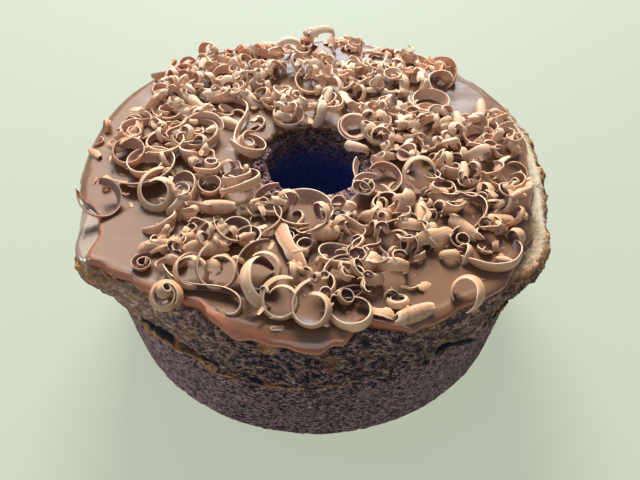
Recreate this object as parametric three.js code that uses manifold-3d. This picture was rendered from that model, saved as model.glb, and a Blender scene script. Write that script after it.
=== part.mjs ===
// A ring cake with a chocolate icing and chocolate curls on top.
// Millimetres, +Z up, origin at the middle of the flat base, front towards -Y.
// Angles in the tables are degrees from +X, so the front is at 270.
import * as THREE from "three";
import { mergeVertices } from "three/addons/utils/BufferGeometryUtils.js";
import Module from "manifold-3d";

const wasm = await Module();
wasm.setup();

// Sizes of the sponge
const HEIGHT = 80;
const BASE_RADIUS = 92.5;
const RIM_RADIUS = 102.5;
const BASE_ROUND = 3;
const HOLE_BASE_RADIUS = 26;
const HOLE_TOP_RADIUS = 21;
const HOLE_ROUND = 3;
const SHOULDER = 5;
const FRONT_ANGLE = 258;
const FRONT_SPREAD = 32;
const SPONGE_STEPS = 72;
const SPONGE_COLOR = 0x4a352c;

// Lips where the batter spread over the edge of the tin
const LIPS = [
  { angle: 213, spread: 10, reach: 11 },
  { angle: 328, spread: 12, reach: 7 },
  { angle: 308, spread: 14, reach: 2 },
  { angle: 180, spread: 16, reach: -1 },
];
const LIP_FROM = 0.7 * HEIGHT;
const LIP_TO = 0.94 * HEIGHT;

// Torn and cracked band of the side
const TEAR_HEIGHT = 0.55 * HEIGHT;
const TEAR_WANDER = { reach: 5, row: 40, cells: 17 };
const TEAR_DEPTH = { mean: 1.82, spread: 0.98, row: 60, cells: 13 };
const TEAR_HALF = 3.2;
const BULGE = 1.1;
const CRAG = { depth: 2.4, cells: 44, pitch: 7, smoothShare: 0.12, rimLoss: 0.6 };
const TOP_WAVE = { depth: 0.6, cells: 9, pitch: 30 };
const HOLE_WAVE = { depth: 0.9, cells: 15, pitch: 18 };

// Rows of the sponge's outline: heights on the side and in the hole, turns over the shoulder
const SIDE_ROWS = [BASE_ROUND, 16, 29, 38, 43, 47, 51, 55, 59, 63, 67];
const SHOULDER_ROWS = [1.35, 0.9, 0.45, 0];
const HOLE_ROWS = [HEIGHT - HOLE_ROUND, 0.62 * HEIGHT, 0.3 * HEIGHT];

// Sizes of the icing
const GAP = 0.3;
const ICING_THICK = 3;
const ICING_LIP = { thick: 1.4, from: 0.8 };
const ICING_WAVE = { depth: 0.35, cells: 21, rows: 4 };
const ICING_ROOT = 5;
const ICING_STEPS = 71;
const ICING_SMEAR = 0.9;
const ICING_COLOR = 0x8a6650;
const ICING_OUTER = [
  [0, 95], [8, 97], [21, 98], [43, 97], [90, 98], [130, 100], [150, 102], [190, 102],
  [202, 106], [213, 112.5], [219, 106], [227, 101], [236, 97.5], [243, 96.5], [248, 100.5],
  [258, 102.5], [268, 104], [275, 102.5], [281, 97], [292, 101.5], [300, 102], [311, 104],
  [319, 103], [329, 101], [340, 97],
];
const ICING_INNER = [
  [0, 24], [70, 22], [150, 23.5], [190, 27.5], [220, 28], [262, 29.5], [295, 30], [330, 27],
];

// Rows of the icing's outline: share of the way out, and share of the thickness
const ICING_UNDER = [[0, -1], [0.9, -1], [1, -1]];
const ICING_OVER = [
  [1, 0.2], [0.98, 0.9], [0.94, 1.05], [0.84, 1], [0.06, 1], [0.02, 0.8], [0, 0.1],
];

// Where the full coat ends at the left, with only a thin smear past it
const ICING_STEP = [
  [0, 130], [186, 130], [194, 101], [203, 96.5], [208, 98.5], [215, 108], [219, 130],
];
const STEP_RUN = 1.2;

// Chocolate curls
const CURL_THICK = 1.1;
const CURL_SINK = 0.8;
const CURL_MIN_SIZE = 12.5;
const CURL_VARY = { turns: 0.12, sway: -0.4, x: 1.7, y: 2.3 };
const PATH_FINE = 8;
const KINDS = {
  hoop: { turns: 1.15, sway: 0.3, hook: 0, tilt: 14, taper: 0.5, steps: 9, turn: 0 },
  scroll: { turns: 1.75, sway: 0.85, hook: 0, tilt: 10, taper: 0.5, steps: 12, turn: 0 },
  wheel: { turns: 0.9, sway: 0.1, hook: 0, tilt: -72, taper: 0.4, steps: 8, turn: 0 },
  roll: { turns: 0.85, sway: 0.2, hook: 0, tilt: -90, taper: 0.1, steps: 7, turn: 90 },
  cashew: { turns: 0.72, sway: 0.1, hook: 0, tilt: -62, taper: 0.3, steps: 6, turn: 0 },
  crescent: { turns: 0.6, sway: 0.15, hook: 0, tilt: -20, taper: 0.7, steps: 6, turn: 0 },
  ribbon: { turns: 0.05, sway: 1.5, hook: 0, tilt: -12, taper: 0.4, steps: 8, turn: 0 },
  cane: { turns: 0.09, sway: -1.4, hook: 1.4, tilt: -12, taper: 0.4, steps: 10, turn: 0 },
  strap: { turns: 0.1, sway: 0.25, hook: 0, tilt: -78, taper: 0.45, steps: 4, turn: 0 },
};
const OPEN_KINDS = ["ribbon", "cane", "strap"];

// Large curls: kind, place x and y, size, ribbon width, heading, lean, flare where there is one
const CURLS = [
  ["wheel", -88, -34, 17, 3.5, 45, 108], ["hoop", -66, -29, 15, 4.5, -10, 24, -20],
  ["scroll", -72, -11, 18, 6, 200, -6], ["hoop", -83, -1, 13, 6, 20, 2],
  ["hoop", -67, 4, 17, 5, 180, -8], ["hoop", -53, 0, 12, 6, 200, 0],
  ["crescent", -46, -12, 13, 5, 80, 0], ["crescent", -54, -23, 16, 5, 110, 0],
  ["scroll", -31, -21, 15, 4, 200, 14], ["hoop", -18, -31, 14, 4.5, 330, -6],
  ["roll", -40, -34, 5, 14, 0, 0], ["cashew", -55, -34, 12, 5, 60, 0],
  ["crescent", -61, -45, 14, 5, 50, 0], ["hoop", -33, -50, 12, 5, 60, 10],
  ["roll", -40, -58, 5.5, 12.5, 10, 0], ["hoop", -37.5, -74, 15, 5, 0, 26, -28],
  ["hoop", -47.5, -74, 12, 5, 20, 20, -25], ["hoop", -21, -72, 16.5, 5.5, -15, 24, -12],
  ["crescent", -22, -79, 20, 5, 270, -30], ["cane", -40, -81, 47.5, 3.5, 172, 0],
  ["scroll", -55, -84.5, 8.5, 4, 0, 24, -30], ["hoop", -12.5, -88, 13.5, 6, 0, 24, -36],
  ["hoop", -2, -92, 14.5, 6, -20, 26, -32], ["hoop", -4, -39, 22, 5, 170, -6],
  ["hoop", 13, -89.5, 17, 5, 320, -10, -8], ["hoop", 10, -75, 16, 4.5, 30, 8, -10],
  ["hoop", 9, -66, 14, 5, 160, 6, 15], ["roll", 5, -50, 6, 10, 0, 0],
  ["ribbon", 16, -46, 20, 4, -30, 0], ["cashew", 26, -42, 12, 5, 20, 0],
  ["crescent", 37, -45, 21, 4, 160, 8], ["cashew", 38, -49, 10.5, 5, 0, 0],
  ["hoop", 30, -33, 11, 5, 270, 0], ["cashew", 38, -34, 12, 6, 80, 0],
  ["roll", 53, -29, 5.5, 14, -55, 0], ["crescent", 58, -35, 12, 5, 45, 0],
  ["crescent", 66, -38, 20, 4.5, 85, 0], ["roll", 60, -47, 5, 15, -50, 0],
  ["roll", 75, -43, 5, 12, 0, 0], ["cashew", 80, -33, 12, 5, 100, 0],
  ["strap", 47, -54, 21, 5, 28, 0], ["crescent", 72, -65, 22, 5, 15, 10],
  ["wheel", 57, -84, 12.5, 6, 135, 27], ["roll", 37, -91, 5, 15, 22, 0],
  ["hoop", 31, -56, 13, 5, -20, 14, -15], ["cashew", 29.5, -71, 12.5, 5, 0, 0],
  ["hoop", 27, -18, 18, 4.5, 30, 0], ["hoop", 84, -17, 13, 4.5, 20, 14, -18],
  ["scroll", 61, -9, 14, 5, 150, -6], ["wheel", 72, -5, 11, 4.5, 30, 0],
  ["hoop", 53, 12, 16, 5, 330, -8], ["hoop", 53, 35, 17, 5, 100, -10],
  ["hoop", 38, 24, 13, 4.5, 20, -8], ["scroll", 29, 12, 11, 4.5, 60, 0],
  ["scroll", 18, 17, 12, 4.5, 20, 8], ["crescent", 76, 14, 13, 5, 80, 0],
  ["hoop", 48, 66, 16, 5, 150, -8], ["hoop", -46, 60, 15, 6, 40, -6],
  ["hoop", -64, 54, 13, 5.5, 190, -4], ["hoop", 22, 56, 13, 5, 280, -4],
  ["wheel", 4, 90, 12.5, 4.5, 10, 0], ["wheel", -54, 79, 9, 4, 150, 0],
  ["crescent", 66, 62, 16, 5, 120, 0], ["hoop", -51, 14, 18, 5, 300, -4],
  ["roll", -56, 28, 5.5, 18, 0, 0], ["hoop", -70, 29, 12, 5.5, 20, 0],
  ["roll", -45, 42, 6, 15, 0, 0], ["roll", -60, 40, 5, 17, -50, 0],
  ["ribbon", -34, 20, 52, 4, 72, 0], ["crescent", -84, 16, 15, 5, 90, 0],
  ["hoop", -29, 2, 14, 5, 100, 10], ["hoop", -13, 25, 12, 5.5, 30, 0],
  ["cashew", 3, 27, 13, 5, 90, 0], ["crescent", 30, 64, 13, 4, 150, 0],
  ["cashew", -27, 55, 12.5, 5, 60, 0], ["hoop", -28, 72, 12.5, 4.5, 30, 0],
  ["crescent", 2, 67, 12.5, 4.5, 190, 0], ["strap", -10.5, -57, 29, 6, -75, 0],
];

// More curls between them, thrown by a seeded rule
const FILL_SEED = 20417;
const FILL_TRIES = 900;
const FILL_COUNT = 7;
const FILL_KINDS = ["hoop", "roll", "cashew", "crescent"];
const FILL_SIZE = [12.5, 14.5];
const FILL_WIDTH = [3.5, 5.5];
const FILL_CLEAR = 0.52;
const FILL_EDGE = 9;
const BARE = [
  { x: -78, y: -52, reach: 20 },
  { x: 52, y: -71, reach: 17 },
  { x: 76, y: 42, reach: 20 },
  { x: -88, y: 45, reach: 14 },
];

const TURN = 2 * Math.PI;
const rad = THREE.MathUtils.degToRad;
const lerp = THREE.MathUtils.lerp;
const smoothstep = THREE.MathUtils.smoothstep;

// A repeatable number from 0 to 1 for a cell of a grid
function cellValue(i, j) {
  let h = Math.imul(i + 101, 374761393) + Math.imul(j + 57, 668265263);
  h = Math.imul(h ^ (h >>> 13), 1274126177);
  return ((h ^ (h >>> 16)) >>> 0) / 4294967296;
}

// Smooth uneven values from -1 to 1 round the cake and up its side
function unevenness(angle, v, cells) {
  const a = (((angle / TURN) % 1) + 1) % 1 * cells;
  const i = Math.floor(a);
  const j = Math.floor(v);
  const s = smoothstep(a - i, 0, 1);
  const t = smoothstep(v - j, 0, 1);
  const low = lerp(cellValue(i % cells, j), cellValue((i + 1) % cells, j), s);
  const high = lerp(cellValue(i % cells, j + 1), cellValue((i + 1) % cells, j + 1), s);
  return 2 * lerp(low, high, t) - 1;
}

// Shortest turn between two angles in degrees
function apart(a, b) {
  return ((a - b + 540) % 360 + 360) % 360 - 180;
}

function bump(angle, centre, spread) {
  const d = apart(THREE.MathUtils.radToDeg(angle), centre) / spread;
  return Math.exp(-d * d);
}

// Value of a table of degrees and sizes, eased between its rows
function around(table, angle) {
  const deg = ((THREE.MathUtils.radToDeg(angle) % 360) + 360) % 360;
  let k = table.length - 1;
  while (k > 0 && table[k][0] > deg) {
    k -= 1;
  }
  const next = table[(k + 1) % table.length];
  const span = (next[0] - table[k][0] + 360) % 360;
  return lerp(table[k][1], next[1], smoothstep((deg - table[k][0]) / span, 0, 1));
}

function lip(angle) {
  return LIPS.reduce((sum, one) => sum + one.reach * bump(angle, one.angle, one.spread), 0);
}

function topWave(angle, radius) {
  return TOP_WAVE.depth * unevenness(angle, radius / TOP_WAVE.pitch, TOP_WAVE.cells);
}

// Outer radius of the sponge's side, with its lips, its tear and its crags
function sideRadius(angle, z) {
  const wander = unevenness(angle, TEAR_WANDER.row, TEAR_WANDER.cells);
  const tearAt = TEAR_HEIGHT + TEAR_WANDER.reach * wander;
  const d = (z - tearAt) / TEAR_HALF;
  const above = smoothstep(z, tearAt - TEAR_HALF, tearAt + TEAR_HALF);
  const tear = TEAR_DEPTH.mean + TEAR_DEPTH.spread * unevenness(angle, TEAR_DEPTH.row, TEAR_DEPTH.cells);
  const crag = CRAG.depth * unevenness(angle, z / CRAG.pitch, CRAG.cells);
  const nearRim = smoothstep(z, LIP_TO, HEIGHT);
  return lerp(BASE_RADIUS, RIM_RADIUS, z / HEIGHT)
    + lip(angle) * smoothstep(z, LIP_FROM, LIP_TO)
    + BULGE * above * (1 - smoothstep(z, LIP_FROM, HEIGHT))
    - tear * Math.exp(-d * d)
    + crag * lerp(CRAG.smoothShare, 1, above) * (1 - CRAG.rimLoss * nearRim);
}

// Point and outward direction on the top of the sponge, at a length measured from the axis
function onTop(angle, length) {
  const flat = RIM_RADIUS + lip(angle) - SHOULDER;
  const turned = Math.min(Math.max((length - flat) / SHOULDER, 0), Math.PI / 2);
  const down = Math.max(length - flat - SHOULDER * Math.PI / 2, 0);
  const r = Math.min(length, flat) + SHOULDER * Math.sin(turned);
  const z = HEIGHT + topWave(angle, r) - SHOULDER * (1 - Math.cos(turned)) - down;
  return { r, z, outR: Math.sin(turned), outZ: Math.cos(turned) };
}

// A closed ring swept round the axis, each row of its outline set at its own place
function ringGeometry(rows, steps, place) {
  const outline = [...rows, rows[0]].map((row) => new THREE.Vector2(row.r, row.z));
  const geometry = new THREE.LatheGeometry(outline, steps);
  const position = geometry.attributes.position;
  for (let v = 0; v < position.count; v += 1) {
    const row = rows[(v % outline.length) % rows.length];
    const angle = TURN * (Math.floor(v / outline.length) % steps) / steps;
    const at = place(angle, row);
    position.setXYZ(v, at.r * Math.cos(angle), at.r * Math.sin(angle), at.z);
  }
  return geometry;
}

// Rows of the sponge's outline from the hole's foot, out, up, in over the top and down the hole
function spongeRows() {
  const middle = lerp(HOLE_TOP_RADIUS, RIM_RADIUS, 0.5);
  return [
    { part: "base", r: HOLE_BASE_RADIUS, z: 0 },
    { part: "base", r: BASE_RADIUS - BASE_ROUND, z: 0 },
    ...SIDE_ROWS.map((z) => ({ part: "side", r: BASE_RADIUS, z })),
    ...SHOULDER_ROWS.map((turned) => ({ part: "round", r: RIM_RADIUS, z: HEIGHT, turned })),
    { part: "top", r: middle, z: HEIGHT, share: 0.5 },
    { part: "top", r: HOLE_TOP_RADIUS + HOLE_ROUND, z: HEIGHT, share: 0 },
    ...HOLE_ROWS.map((z) => ({ part: "hole", r: HOLE_TOP_RADIUS, z })),
  ];
}

// The sponge, or the sponge grown on all sides so that the icing can be cut to fit it
function spongeGeometry(grow) {
  const place = (angle, row) => {
    if (row.part === "base") {
      const side = row.r === HOLE_BASE_RADIUS ? -1 : 1;
      return { r: row.r + side * grow, z: -grow };
    }
    if (row.part === "side") {
      return { r: sideRadius(angle, row.z) + grow, z: row.z };
    }
    if (row.part === "hole") {
      const r = lerp(HOLE_BASE_RADIUS, HOLE_TOP_RADIUS, row.z / HEIGHT);
      const wave = HOLE_WAVE.depth * unevenness(angle, row.z / HOLE_WAVE.pitch, HOLE_WAVE.cells);
      return { r: r + wave - grow, z: row.z };
    }
    const flat = RIM_RADIUS + lip(angle) - SHOULDER;
    const inner = HOLE_TOP_RADIUS + HOLE_ROUND;
    const length = row.part === "round"
      ? flat + SHOULDER * row.turned
      : lerp(inner, flat, row.share);
    const on = onTop(angle, length);
    return { r: on.r + grow * on.outR, z: on.z + grow * on.outZ };
  };
  return ringGeometry(spongeRows(), SPONGE_STEPS, place);
}

// Thickness of the icing at a length measured from the axis
function icingThickness(angle, length) {
  const inner = around(ICING_INNER, angle);
  const share = (length - inner) / (around(ICING_OUTER, angle) - inner);
  const lipHere = bump(angle, FRONT_ANGLE, FRONT_SPREAD) * smoothstep(share, ICING_LIP.from, 1);
  const wave = ICING_WAVE.depth * unevenness(angle, share * ICING_WAVE.rows, ICING_WAVE.cells);
  const full = ICING_THICK + ICING_LIP.thick * lipHere + wave;
  const step = around(ICING_STEP, angle);
  return lerp(full, ICING_SMEAR, smoothstep(length, step, step + STEP_RUN));
}

function icingGeometry() {
  const place = (angle, row) => {
    const length = lerp(around(ICING_INNER, angle), around(ICING_OUTER, angle), row.share);
    const on = onTop(angle, length);
    const lift = row.lift > 0 ? row.lift * icingThickness(angle, length) : -ICING_ROOT;
    return { r: on.r + lift * on.outR, z: on.z + lift * on.outZ };
  };
  const rows = [...ICING_UNDER, ...ICING_OVER].map(([share, lift]) => (
    { r: 1 + share, z: lift, share, lift }
  ));
  return ringGeometry(rows, ICING_STEPS, place);
}

// Height of the icing's upper surface under a point
function icingHeight(x, y) {
  const angle = Math.atan2(y, x);
  const radius = Math.hypot(x, y);
  const inner = around(ICING_INNER, angle);
  const outer = around(ICING_OUTER, angle);
  const length = Math.min(Math.max(radius, inner), outer);
  return onTop(angle, radius).z + icingThickness(angle, length);
}

// One curl: a ribbon whose bend changes evenly along it, tilted, turned and set on the icing
function curlGeometry([kind, x, y, size, width, heading, lean, flare = 0]) {
  const form = KINDS[kind];
  const open = OPEN_KINDS.includes(kind);
  const vary = Math.sin(CURL_VARY.x * x + CURL_VARY.y * y);
  const turns = form.turns * (1 + CURL_VARY.turns * vary);
  const sway = form.sway * (1 + CURL_VARY.sway * vary);
  const length = open ? size : Math.PI * size * turns;
  const geometry = new THREE.BoxGeometry(1, 1, 1, form.steps, 1, 1);
  const bend = (u) => TURN * (turns * u + sway * u ** 2 + form.hook * u ** 3);
  const cos = Math.cos(rad(flare));
  const sin = Math.sin(rad(flare));
  const count = form.steps * PATH_FINE;
  const step = length / count;
  const path = [new THREE.Vector2(0, 0)];
  for (let k = 0; k < count; k += 1) {
    const a = bend((k + 0.5) / count - 0.5);
    path.push(path[k].clone().add(new THREE.Vector2(step * Math.cos(a), step * Math.sin(a))));
  }
  const middle = new THREE.Vector2();
  path.forEach((p) => middle.addScaledVector(p, 1 / path.length));
  const position = geometry.attributes.position;
  for (let v = 0; v < position.count; v += 1) {
    const u = position.getX(v);
    const p = path[Math.round((u + 0.5) * count)];
    const a = bend(u);
    const through = position.getZ(v) * CURL_THICK;
    const across = position.getY(v) * width * (1 - form.taper * (2 * u) ** 4);
    const off = through * cos + across * sin;
    position.setXYZ(
      v,
      p.x - middle.x + off * Math.sin(a),
      p.y - middle.y - off * Math.cos(a),
      across * cos - through * sin,
    );
  }
  geometry.rotateX(rad(form.tilt + lean));
  geometry.rotateZ(rad(heading + form.turn));
  geometry.computeBoundingBox();
  geometry.translate(x, y, icingHeight(x, y) - CURL_SINK - geometry.boundingBox.min.z);
  return geometry;
}

// Curls that fill the places left between the large ones, kept off the bare patches
function fillCurls() {
  let state = FILL_SEED;
  const draw = (from, to) => {
    state = (Math.imul(state, 1664525) + 1013904223) >>> 0;
    return lerp(from, to, state / 4294967296);
  };
  const placed = [];
  for (let k = 0; k < FILL_TRIES && placed.length < FILL_COUNT; k += 1) {
    const x = draw(-RIM_RADIUS, RIM_RADIUS);
    const y = draw(-RIM_RADIUS, RIM_RADIUS);
    const kind = FILL_KINDS[Math.floor(draw(0, FILL_KINDS.length))];
    const size = draw(...FILL_SIZE);
    const width = draw(...FILL_WIDTH);
    const heading = draw(0, 360);
    const angle = Math.atan2(y, x);
    const radius = Math.hypot(x, y);
    const fits = radius > around(ICING_INNER, angle) + FILL_EDGE
      && radius < around(ICING_OUTER, angle) - FILL_EDGE
      && BARE.every((patch) => Math.hypot(x - patch.x, y - patch.y) > patch.reach)
      && [...CURLS, ...placed].every((other) => (
        Math.hypot(x - other[1], y - other[2]) > FILL_CLEAR * (size + other[3])
      ));
    if (fits) {
      placed.push([kind, x, y, size, width, heading, 0]);
    }
  }
  return placed;
}

function toSolid(geometry) {
  geometry.deleteAttribute("normal");
  geometry.deleteAttribute("uv");
  const merged = mergeVertices(geometry, 1e-4);
  const vertProperties = new Float32Array(merged.attributes.position.array);
  const triVerts = new Uint32Array(merged.index.array);
  return new wasm.Manifold(new wasm.Mesh({ numProp: 3, vertProperties, triVerts }));
}

function toGeometry(solid) {
  const mesh = solid.getMesh();
  const geometry = new THREE.BufferGeometry();
  geometry.setAttribute("position", new THREE.BufferAttribute(mesh.vertProperties, 3));
  geometry.setIndex(new THREE.BufferAttribute(mesh.triVerts, 1));
  geometry.computeVertexNormals();
  return geometry;
}

// The icing with its curls joined on, cut to fit the sponge, without loose scraps
function icingSolid() {
  const large = (curl) => Math.max(curl[3], curl[4]) >= CURL_MIN_SIZE;
  const curls = [...CURLS, ...fillCurls()].filter(large);
  let solid = toSolid(icingGeometry());
  for (const curl of curls) {
    solid = solid.add(toSolid(curlGeometry(curl)));
  }
  const pieces = solid.subtract(toSolid(spongeGeometry(GAP))).decompose();
  return pieces.sort((a, b) => b.volume() - a.volume())[0];
}

function named(name, solid, color, roughness) {
  const material = new THREE.MeshStandardMaterial({ color, roughness, metalness: 0 });
  const mesh = new THREE.Mesh(toGeometry(solid), material);
  mesh.name = name;
  return mesh;
}

const cake = new THREE.Group();
cake.add(named("sponge", toSolid(spongeGeometry(0)), SPONGE_COLOR, 0.9));
cake.add(named("icing", icingSolid(), ICING_COLOR, 0.35));

export default cake;
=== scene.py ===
"""Dresses a chocolate ring cake: sponge, icing and chocolate curls.

Lengths are millimetres until a mesh is made, which is in metres. Angles go round from +X, in degrees
where they are fields or rows of a table and in radians where they are arrays.
"""

import logging
import math
from dataclasses import dataclass
from enum import Enum
from typing import Callable, Iterator

import bmesh
import bpy
import numpy as np
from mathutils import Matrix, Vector


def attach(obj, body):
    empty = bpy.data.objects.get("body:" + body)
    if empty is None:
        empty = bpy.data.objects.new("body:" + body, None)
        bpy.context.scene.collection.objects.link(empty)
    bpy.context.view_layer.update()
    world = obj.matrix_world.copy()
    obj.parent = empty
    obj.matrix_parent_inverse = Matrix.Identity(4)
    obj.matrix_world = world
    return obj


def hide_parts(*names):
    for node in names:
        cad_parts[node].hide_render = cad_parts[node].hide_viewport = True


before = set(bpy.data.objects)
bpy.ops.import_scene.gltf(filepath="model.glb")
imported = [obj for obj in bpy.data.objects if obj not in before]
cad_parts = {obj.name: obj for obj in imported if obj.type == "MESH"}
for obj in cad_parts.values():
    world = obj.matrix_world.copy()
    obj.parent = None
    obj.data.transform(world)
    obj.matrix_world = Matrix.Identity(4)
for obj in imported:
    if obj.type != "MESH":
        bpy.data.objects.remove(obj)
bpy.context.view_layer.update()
LOG = logging.getLogger("cake")
MM = 0.001
TURN = 2 * math.pi
Array = np.ndarray
Range = tuple[float, float]
Table = tuple[Range, ...]
Triple = tuple[float, float, float]
Colour = Triple
Layer = tuple[float, float, int]


# Uneven surfaces


def smoothstep(x: Array, low: float, high: float) -> Array:
    """Eases from 0 at low to 1 at high."""
    t = np.clip((np.asarray(x, float) - low) / (high - low), 0, 1)
    return t * t * (3 - 2 * t)


def lerp(a: Array, b: Array, t: Array) -> Array:
    """Goes from a at t 0 to b at t 1."""
    return (1 - t) * a + t * b


def bell(x: Array, middle: Array, half: Array) -> Array:
    """Gives a soft bump of 1 at its middle."""
    return np.exp(-(((x - middle) / half) ** 2))


def cell_value(i: Array, j: Array) -> Array:
    """Gives a repeatable number from 0 to 1 for each cell of a grid.

    Args:
        i: The cells' columns, whole numbers.
        j: The cells' rows, whole numbers.

    Returns:
        One number from 0 to 1 for each cell.
    """
    h = ((i + 101) * 374761393 + (j + 57) * 668265263) & 0xFFFFFFFF
    h = ((h ^ (h >> 13)) * 1274126177) & 0xFFFFFFFF
    return ((h ^ (h >> 16)) & 0xFFFFFFFF) / 4294967296.0


def unevenness(angle: Array, v: Array, cells: int) -> Array:
    """Gives smooth uneven values from -1 to 1 round the cake and along v.

    Args:
        angle: Angles round the cake in radians.
        v: The second direction, in cells.
        cells: How many cells go round the cake.

    Returns:
        One value from -1 to 1 for each angle.
    """
    a = np.mod(angle / TURN, 1.0) * cells
    v = np.broadcast_to(np.asarray(v, float), a.shape)
    i, j = np.floor(a).astype(np.int64), np.floor(v).astype(np.int64)
    s, t = smoothstep(a - i, 0, 1), smoothstep(v - j, 0, 1)
    near, far = i % cells, (i + 1) % cells
    low = lerp(cell_value(near, j), cell_value(far, j), s)
    high = lerp(cell_value(near, j + 1), cell_value(far, j + 1), s)
    return 2 * lerp(low, high, t) - 1


def grain(points: Array, pitch: float, seed: int) -> Array:
    """Gives smooth solid noise.

    Args:
        points: Places, one row of three numbers each.
        pitch: The size of the grain's cells.
        seed: Sets one pattern apart from another.

    Returns:
        One value from -1 to 1 for each place.
    """
    p = points / pitch + 1000.0
    c = np.floor(p).astype(np.int64)
    f = smoothstep(p - c, 0, 1)
    total = np.zeros(len(p))
    for corner in np.ndindex(2, 2, 2):
        k = c + np.array(corner)
        share = np.prod(np.where(np.array(corner) == 1, f, 1 - f), axis=1)
        total += share * cell_value(k[:, 0] + 7919 * (k[:, 2] % 4093) + seed, k[:, 1])
    return 2 * total - 1


def pores(points: Array, pitch: float, seed: int) -> Array:
    """Gives the distance to the nearest of scattered pore centres, in pitches.

    Args:
        points: Places, one row of three numbers each.
        pitch: The mean distance between pores.
        seed: Sets one pattern apart from another.

    Returns:
        One distance for each place, 0 in the middle of a pore.
    """
    p = points / pitch + 1000.0
    c = np.floor(p).astype(np.int64)
    nearest = np.full(len(p), 9.0)
    for step in np.ndindex(3, 3, 3):
        k = c + np.array(step) - 1
        column = k[:, 0] + 7919 * (k[:, 2] % 4093) + seed
        centre = k + np.stack([cell_value(column + 31 * n, k[:, 1] + 17 * n) for n in range(3)], 1)
        nearest = np.minimum(nearest, np.sum((p - centre) ** 2, axis=1))
    return np.sqrt(nearest)


class Draw:
    """A seeded run of random numbers, the same on every run."""

    def __init__(self, seed: int) -> None:
        """Starts the run at a seed."""
        self.state = seed

    def between(self, low: float, high: float) -> float:
        """Draws one number between low and high."""
        self.state = (self.state * 1664525 + 1013904223) & 0xFFFFFFFF
        return lerp(low, high, self.state / 4294967296)


# Form of the cake


@dataclass(frozen=True)
class Lip:
    """A place where the batter spread over the edge of the tin."""

    angle: float
    spread: float
    reach: float


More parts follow.
